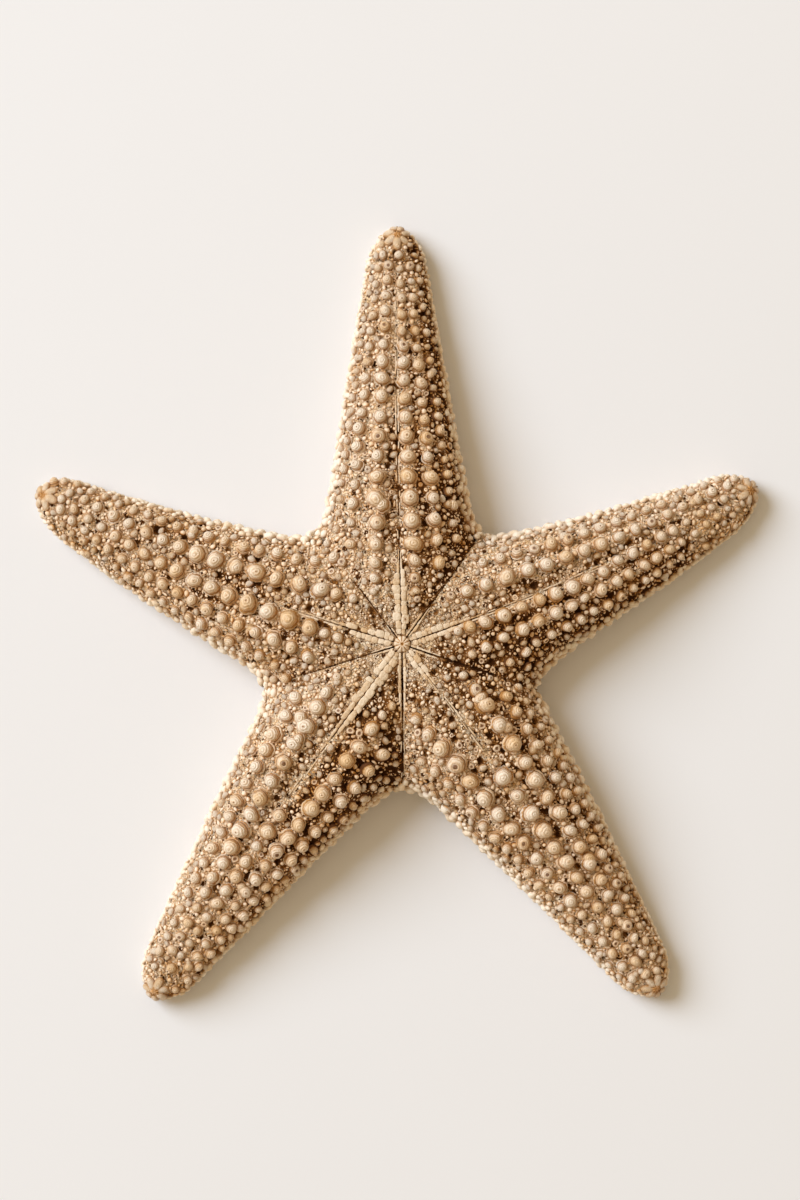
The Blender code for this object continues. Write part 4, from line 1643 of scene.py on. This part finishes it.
@dataclass
class Knobs:
    """The rows of knobs, and all smaller things that fill the skin between them."""

    body: Body
    bands: SeamBands
    rng: np.random.Generator
    crowd: Crowd = field(default_factory=Crowd)
    ball: float = 0.47
    swell: float = 0.20
    highest: float = 18.40
    big: float = 0.68
    least: float = 0.9
    touch: float = 0.35
    open_pit: float = 0.25
    full_size_from: float = 12.0
    least_share: float = 0.55
    row_touch: float = 0.15
    row_closeness: float = 0.92
    twin_share: float = 0.08
    crater_share: float = 0.10
    margin_lines: tuple[tuple[float, float, float, float], ...] = (
        (0.43, 2.25, 0.98, 0.2), (0.485, 2.35, 1.08, 1.2), (0.545, 2.25, 1.0, 0.3), (0.605, 1.8, 0.85, 1.1))
    margin_sizes: tuple[float, float] = (0.66, 1.10)
    margin_gaps: float = 0.05
    margin_closeness: float = 0.86

    def row(self, form: ArmForm, row: Row) -> Seats:
        """The knobs of one row, spaced by their own size as on the solid, then shaken a little.

        Args:
            form: the arm.
            row: the row's line, sizes and pitch.

        Returns:
            The knobs' places.
        """
        a = np.linspace(0, form.reach, RIB_TABLE)
        v = v_of_share(np.interp(a, (0, form.reach), row.share))
        line = form.points(a, v)
        way = travelled(line)
        size = np.minimum(
            KNOB_GROWTH * np.hypot(line[:, 0], line[:, 1]), np.interp(a, (0, form.reach), row.diameter))
        made, place = [], 0.0
        while place < way[-1]:
            diameter = float(np.interp(place, way, size))
            if diameter >= self.least:
                made.append((np.interp(place, way, a), np.interp(place, way, v), diameter))
            place += max(diameter * row.pitch, LEAST_STEP)
        at, vt, diameter = np.array(made).T
        fuller = 1 + self.swell * np.sin(np.clip(at / form.reach / 0.86, 0, 1) * math.pi)
        uneven = self.rng.normal(1, 0.08, len(at)).clip(0.82, 1.18)
        shaken = np.clip(at + self.rng.normal(0, 0.05, len(at)) * diameter, 0.2, form.reach - 0.3)
        aside = vt * (1 + self.rng.normal(0, 0.02, len(at)))
        seats = form.seats(shaken, aside, self.ball * diameter * fuller * uneven)
        on_the_middle = abs(row.share[0]) <= 0.05
        return seats if on_the_middle else self.beside_seam(form, seats, float(np.sign(row.share[0])))

    def beside_seam(self, form: ArmForm, seats: Seats, side: float) -> Seats:
        """Moves the knobs that would stand on the arm's own seam out to one side of it.

        Args:
            form: the arm.
            seats: the knobs of one row.
            side: 1 for the left of the seam, -1 for its right.

        Returns:
            The knobs at their new places.
        """
        seam = next(seam for seam in SEAMS if seam.arm == form.number)
        s, t = self.bands.way(seam, seats.point)
        off_band = self.bands.gap + self.bands.width(seam, s) + 0.18 * seats.size
        least = np.maximum(off_band, 0.97 * seats.size + 0.08)
        t = np.where(s < seam.reach + 1, side * np.maximum(side * t, least), t)
        return form.seats(*form.chart(self.bands.plan(seam, s, t)), seats.size)

    def clear_of_bands(self, seats: Seats, touch: float) -> Seats:
        """Leaves out the seats that would stand on a seam's band or over its crack."""
        band, crack = self.bands.clearance(seats.point)
        return seats.pick((band > touch * seats.size) & (crack > 0.95 * seats.size + 0.05))

    def values(self, seats: Seats, dirt_and_shade_gain: float = 1.0, least: float = 0.0) -> dict[str, Array]:
        """Dirt with painted shade, and tint, for each seat: the tint is random, and lower, so paler, on the
        side turned toward the key light, which is painted light.

        Args:
            seats: the places.
            dirt_and_shade_gain: how much more dirt and painted shade small things take.
            least: the least dirt and painted shade.

        Returns:
            The two values by name.
        """
        dirt, lit_side = np.zeros(len(seats)), np.zeros(len(seats))
        for form in self.body.forms:
            mine = seats.arm == form.number
            dirt[mine] = dirt_and_shade_at(form, seats.a[mine], seats.v[mine], seats.point[mine])
            lit_side[mine] = facing_key_light(form, seats.v[mine])
        # Lower tint, so paler, on the side turned toward the key light: painted light there and painted shade
        # on the other side.
        tint = np.clip(0.08 + 0.80 * self.rng.random(len(seats)) - 0.42 * lit_side, 0, 1)
        return {"dirt": np.maximum(dirt, least) * dirt_and_shade_gain, "tint": tint}

    def with_twins(self, seats: Seats, share: float) -> Seats:
        """Gives a share of the knobs a smaller twin grown half into them, and keeps all below the highest.

        Args:
            seats: the knobs.
            share: the share that gets a twin.

        Returns:
            The knobs and their twins.
        """
        twins = seats.pick(self.rng.random(len(seats)) < share)
        way = self.rng.uniform(0, math.tau, (len(twins), 1))
        aside = np.cos(way) * twins.along + np.sin(way) * twins.across
        twins.point = twins.point + aside * twins.size[:, None]
        twins.size = twins.size * self.rng.uniform(0.62, 0.85, len(twins))
        seats = Seats.join([seats, twins])
        over = seats.point[:, 2] + Shape.KNOB.value.top * seats.size - self.highest
        seats.point = seats.point - seats.normal * np.maximum(over, 0)[:, None]
        return seats

    def scatter(self, sowing: Sowing) -> Seats:
        """Random seats that stay clear of all before them and of the open pits.

        Args:
            sowing: how many are tried, where, how large and how close.

        Returns:
            The seats that found room.
        """
        seats = self.body.scattered(sowing.tries, sowing.band, sowing.size, self.rng)
        pitted = np.zeros(len(seats))
        for form in self.body.forms:
            mine = (seats.arm == form.number) & (np.abs(seats.v) < V_WIDEST)
            pitted[mine] = pits_at(form.points(seats.a[mine], seats.v[mine]))
        seats = seats.pick(pitted < self.open_pit)
        from_centre = np.hypot(seats.point[:, 0], seats.point[:, 1])
        shrink = np.clip(from_centre / self.full_size_from, self.least_share, 1)
        seats.size = seats.size * np.where(np.abs(seats.v) < V_LAND, shrink, 1)
        return self.crowd.settle(self.clear_of_bands(seats, self.touch), sowing.closeness)

    def plant(self, kind: Kind, seats: Seats, looks: "Looks") -> None:
        """Grows one kind of thing on its seats and makes it a piece.

        Args:
            kind: the kind.
            seats: where they sit.
            looks: the finishes.
        """
        values = self.values(seats, kind.dirt_and_shade_gain)
        draft = grow(seats, kind.shape, self.rng, kind.lean, kind.stretch, kind.marks, values)
        draft.piece(kind.name, looks.bones[kind.bone], faceted=kind.faceted)

    def build(self, looks: "Looks") -> None:
        """Sets the knobs by size, the largest first, and makes one piece of each kind.

        Args:
            looks: the finishes.
        """
        rows = Seats.join([self.row(form, row) for form in self.body.forms for row in form.arm.rows])
        rows = rows.pick(np.argsort(-rows.size, kind="stable"))
        rows = self.crowd.settle(self.clear_of_bands(rows, self.row_touch), self.row_closeness)
        big, small = rows.pick(rows.size >= self.big), rows.pick(rows.size < self.big)
        self.plant(ROW_KNOBS, self.with_twins(big, self.twin_share), looks)
        margin = Seats.join([rows_along(self.body, *line) for line in self.margin_lines])
        margin.size = margin.size * self.rng.uniform(*self.margin_sizes, len(margin))
        margin = margin.pick(self.rng.random(len(margin)) > self.margin_gaps)
        self.plant(MARGIN_SCALES, self.crowd.settle(margin, self.margin_closeness), looks)
        middle = self.scatter(MIDDLE)
        crater = self.rng.random(len(middle)) < self.crater_share
        self.plant(SMALL_KNOBS, Seats.join([small, middle.pick(~crater)]), looks)
        self.plant(RING_CRATERS, Seats.join([middle.pick(crater), self.scatter(CRATERS)]), looks)
        for kind, sowing in FILLINGS:
            self.plant(kind, self.scatter(sowing), looks)


@dataclass
class Tips:
    """The end of each arm: long plates set like petals round a small dark star."""

    body: Body
    crowd: Crowd
    rng: np.random.Generator
    back: float = 1.9
    ring: float = 1.70
    size: float = 0.98
    petals: int = 7
    oval: float = 1.7
    rays: int = 8

    def build(self, looks: "Looks") -> None:
        """Sets the plates round a point on the top of each tip, and the star in the middle.

        Args:
            looks: the finishes.
        """
        plates, stars = [], []
        count = self.petals
        for form in self.body.forms:
            middle = form.arm.length - self.back
            turn = math.pi + self.rng.uniform(-0.2, 0.2)
            angle = turn + math.tau * np.arange(count) / count
            x = middle + self.ring * np.cos(angle)
            y = form.bend(middle) + self.ring * 1.05 * np.sin(angle)
            plan = np.stack(form.turned(x, y), axis=1)
            plates.append(form.seats(*form.chart(plan), self.size * self.rng.uniform(0.88, 1.10, count)))
            plan = np.stack(form.turned(np.array([middle]), np.array([form.bend(middle)])), axis=1)
            stars.append(form.seats(*form.chart(plan), 1.0))
        seats, star = Seats.join(plates), Seats.join(stars)
        outward = seats.point - np.repeat(star.point, count, axis=0)
        seats.along = unit(flattened(outward, seats.normal))
        seats.across = np.cross(seats.normal, seats.along)
        star.point = star.point + star.normal * 0.30
        self.crowd.add(seats)
        self.crowd.add(star)
        values = {"dirt": np.full(len(seats), 0.45), "tint": self.rng.uniform(0.4, 1.0, len(seats))}
        oval = np.full(len(seats), self.oval)
        plates = grow(seats, Shape.TIP_PLATE, self.rng, 0.04, 0.0, 0.0, values, oval)
        plates.piece("tip_plates", looks.bones[Bone.KNOB])
        self.star(star).piece("tip_stars", looks.bones[Bone.GRAIN])

    def star(self, seats: Seats) -> Draft:
        """A star with eight rays: radius r and angle s give the height 0.35 + 0.2 r cos(8 s) - 0.4 r^2.

        Args:
            seats: where the stars sit.

        Returns:
            The draft of all stars.
        """
        r = np.linspace(0, 1, 6)[1:]
        s = math.tau * np.arange(32) / 32
        radius, angle = np.meshgrid(r, s, indexing="ij")
        up = 0.35 + 0.20 * radius * np.cos(self.rays * angle) - 0.40 * radius**2
        ray = 0.5 + 0.5 * np.cos(self.rays * angle)
        radius = radius * (0.74 + 0.26 * ray)
        up = np.concatenate([[0.15], up.ravel(), np.full(1, -0.6)])
        out_x = np.concatenate([[0], (radius * np.cos(angle)).ravel(), [0]])
        out_y = np.concatenate([[0], (radius * np.sin(angle)).ravel(), [0]])
        local = (
            out_x[None, :, None] * seats.along[:, None] + out_y[None, :, None] * seats.across[:, None]
            + up[None, :, None] * seats.normal[:, None]
        )
        vertices = (local * seats.size[:, None, None] + seats.point[:, None]).reshape(-1, 3)
        per = local.shape[1]
        start = (np.arange(len(seats)) * per)[:, None, None]
        # along, across and normal form a left-handed set, so the faces run the other way round
        faces = [(start + part[:, ::-1]).reshape(-1, part.shape[1]) for part in disc_faces(len(s), len(r))]
        polar = np.tile(np.concatenate([[0.9], np.clip(0.95 - 0.42 * ray, 0, 1).ravel(), [1.0]]), len(seats))
        zero = np.zeros(len(seats) * per)
        return Draft(vertices, faces, {"polar": polar, "tint": zero + 0.8, "mark": zero, "dirt": zero + 0.5})


@dataclass
class Centre:
    """The small rosette where the ten seams meet."""

    body: Body
    radius: float = 1.65
    sides: int = 80

    def draft(self) -> Draft:
        """A round cap with ten lobes: height 0.72 (1 - r^5) less a groove at each seam, and a pinhole.

        Returns:
            The draft, closed by a point below.
        """
        r = np.array([0.12, 0.3, 0.5, 0.7, 0.85, 0.95, 1.0])
        s = math.tau * np.arange(self.sides) / self.sides
        seam = np.radians([seam.angle for seam in SEAMS])
        away = np.abs(np.remainder(s[:, None] - seam[None] + math.pi, math.tau) - math.pi).min(axis=1)
        radius, _ = np.meshgrid(r, s, indexing="ij")
        groove = np.exp(-((away[None] * radius * self.radius / 0.11) ** 2))
        up = 0.72 * (1 - radius**5) - 0.26 * groove * smooth(0.2, 0.5, radius) - 0.25 * (radius > 0.99)
        edge = self.radius * radius * (1 - 0.07 * groove)
        x, y = edge * np.cos(s), edge * np.sin(s)
        base = DISC_HEIGHT - ArmForm.inset
        rings = np.stack([x.ravel(), y.ravel(), base + up.ravel()], axis=1)
        vertices = np.concatenate([[[0, 0, base + 0.20]], rings, [[0, 0, base - 0.6]]])
        # The cap is darker along the seam grooves, and at the rim where it meets the skin and in the pinhole,
        # as painted shade.
        pinhole = 1 - smooth(0.05, 0.24, radius)
        stain_and_shade = 0.75 * groove * smooth(0.15, 0.4, radius) + 0.5 * (radius > 0.94)
        shade = np.clip(0.30 + stain_and_shade + pinhole, 0, 1)
        polar = np.concatenate([[1.0], shade.ravel(), [1.0]])
        zero = np.zeros(len(vertices))
        values = {"polar": polar, "tint": zero + 0.4, "mark": zero, "dirt": zero + 0.35}
        return Draft(vertices, disc_faces(len(s), len(r)), values)


@dataclass
class Underside:
    """What the underside has: flat granules on the lands, spines along the furrows, and dried feet."""

    body: Body
    knobs: Knobs
    rng: np.random.Generator
    # The least dirt and painted shade on the lands under the arms.
    land_dirt: float = 0.25
    spine_lines: tuple[tuple[float, float, float, float], ...] = (
        (V_FURROW + 0.004, 1.15, 0.42, 2.2), (V_FURROW - 0.010, 1.5, 0.46, 2.7))
    foot_lines: tuple[tuple[float, float, float, float], ...] = (
        (0.955, 1.25, 0.36, 2.5), (0.985, 1.25, 0.32, 3.1))

    def build(self, looks: "Looks") -> None:
        """Grows each kind in turn.

        Args:
            looks: the finishes.
        """
        lands = self.knobs.scatter(LANDS)
        values = self.knobs.values(lands, least=self.land_dirt)
        draft = grow(lands, Shape.LAND_SCALE, self.rng, 0.05, 0.2, 0.0, values)
        draft.piece("underside_granules", looks.bones[Bone.GRANULE])
        spines = Seats.join([rows_along(self.body, *line) for line in self.spine_lines])
        inward = np.sign(spines.v)[:, None] * spines.along
        spines.normal = unit(spines.normal * 0.35 + inward * 0.95 + np.array([0, 0, -0.12]))
        spines.point = spines.point + np.array([0, 0, 0.55])
        draft = grow(spines, Shape.SPINE, self.rng, 0.10, 0.1, 0.0, {"dirt": np.full(len(spines), 0.2)})
        draft.piece("furrow_spines", looks.bones[Bone.GRANULE])
        feet = Seats.join([rows_along(self.body, *line) for line in self.foot_lines])
        draft = grow(feet, Shape.FOOT, self.rng, 0.35, 0.2, 0.0, {"dirt": np.full(len(feet), 0.7)})
        draft.piece("dried_feet", looks.bones[Bone.FLANK])


@dataclass
class Looks:
    """All finishes, made once."""

    groups: Groups = field(default_factory=Groups)

    def __post_init__(self) -> None:
        """Builds the materials."""
        self.skin = SkinFinish("dried_skin").material(self.groups)
        self.bones = {bone: bone.value.material(self.groups) for bone in Bone}
        self.floor = self._floor()

    @staticmethod
    def _floor() -> bpy.types.Material:
        """Pale plaster with very faint clouds.

        Returns:
            The floor's material.
        """
        material, tree, shader = new_material("pale_floor")
        clouds = tree.noise(tree.place(), 9.0, 3.0, 0.55)
        colour = tree.mix(clouds, (0.852, 0.842, 0.832, 1), (0.872, 0.864, 0.856, 1))
        tree.fill(shader, {"Base Color": colour, "Roughness": 0.85})
        return material


@dataclass
class Studio:
    """Floor, light and camera."""

    height: float = 0.70
    frame_height: float = 0.234
    look_at: tuple[float, float] = (0.000594, 0.002638)
    floor_half: float = 4.0
    key_power: float = 106.0
    key_place: tuple[float, float, float] = (-2.047, 1.182, 1.847)
    key_size: float = 2.1
    key_colour: tuple[float, float, float] = (0.76, 0.855, 1.0)
    fill_power: float = 14.0
    fill_place: tuple[float, float, float] = (-1.24, 1.24, 3.03)
    fill_size: float = 4.0
    fill_colour: tuple[float, float, float] = (1.0, 0.80, 0.53)
    sky: tuple[float, float, float] = (0.43, 0.343, 0.227)

    def build(self, looks: Looks) -> None:
        """Sets up the floor, the two lamps, the sky and the camera.

        Args:
            looks: the finishes.
        """
        h = self.floor_half
        mesh = bpy.data.meshes.new("floor")
        mesh.from_pydata([(-h, -h, 0), (h, -h, 0), (h, h, 0), (-h, h, 0)], [], [(0, 1, 2, 3)])
        mesh.materials.append(looks.floor)
        floor = bpy.data.objects.new("floor", mesh)
        bpy.context.scene.collection.objects.link(floor)

        self.lamp("key", self.key_place, self.key_size, self.key_power, self.key_colour)
        self.lamp("fill", self.fill_place, self.fill_size, self.fill_power, self.fill_colour)

        world = bpy.data.worlds.new("soft_sky")
        world.use_nodes = True
        sky = world.node_tree.nodes["Background"]
        sky.inputs["Color"].default_value = (*self.sky, 1)
        bpy.context.scene.world = world

        camera = bpy.data.cameras.new("camera")
        camera.sensor_fit = "VERTICAL"
        camera.sensor_height = 36.0
        camera.lens = 36.0 * self.height / self.frame_height
        camera.clip_end = 20.0
        eye = bpy.data.objects.new("camera", camera)
        eye.location = (*self.look_at, self.height)
        bpy.context.scene.collection.objects.link(eye)
        bpy.context.scene.camera = eye
        bpy.context.scene.view_settings.view_transform = "Standard"

    def lamp(self, name: str, place: tuple, size: float, power: float, colour: tuple) -> None:
        """Hangs a round soft lamp that faces the part.

        Args:
            name: its name.
            place: where it hangs, in metres.
            size: its width in metres.
            power: its watts.
            colour: its colour.
        """
        light = bpy.data.lights.new(name, "AREA")
        light.shape = "DISK"
        light.size = size
        light.energy = power
        light.color = colour
        lamp = bpy.data.objects.new(name, light)
        lamp.location = place
        lamp.rotation_euler = (-Vector(place)).to_track_quat("-Z", "Y").to_euler()
        bpy.context.scene.collection.objects.link(lamp)


def main() -> None:
    """Builds every piece, in order."""
    logging.basicConfig(level=logging.INFO, format="%(name)s: %(message)s")
    rng = np.random.default_rng(SEED)
    looks = Looks()
    body = Body()
    bands = SeamBands(body)
    Skin(body, bands).draft().piece("skin", looks.skin, merge=True)
    bands.build(looks, rng)
    Centre(body).draft().piece("centre_rosette", looks.bones[Bone.SEAM])
    knobs = Knobs(body, bands, rng)
    Tips(body, knobs.crowd, rng).build(looks)
    knobs.build(looks)
    Underside(body, knobs, rng).build(looks)
    Studio().build(looks)


if __name__ == "__main__":
    main()
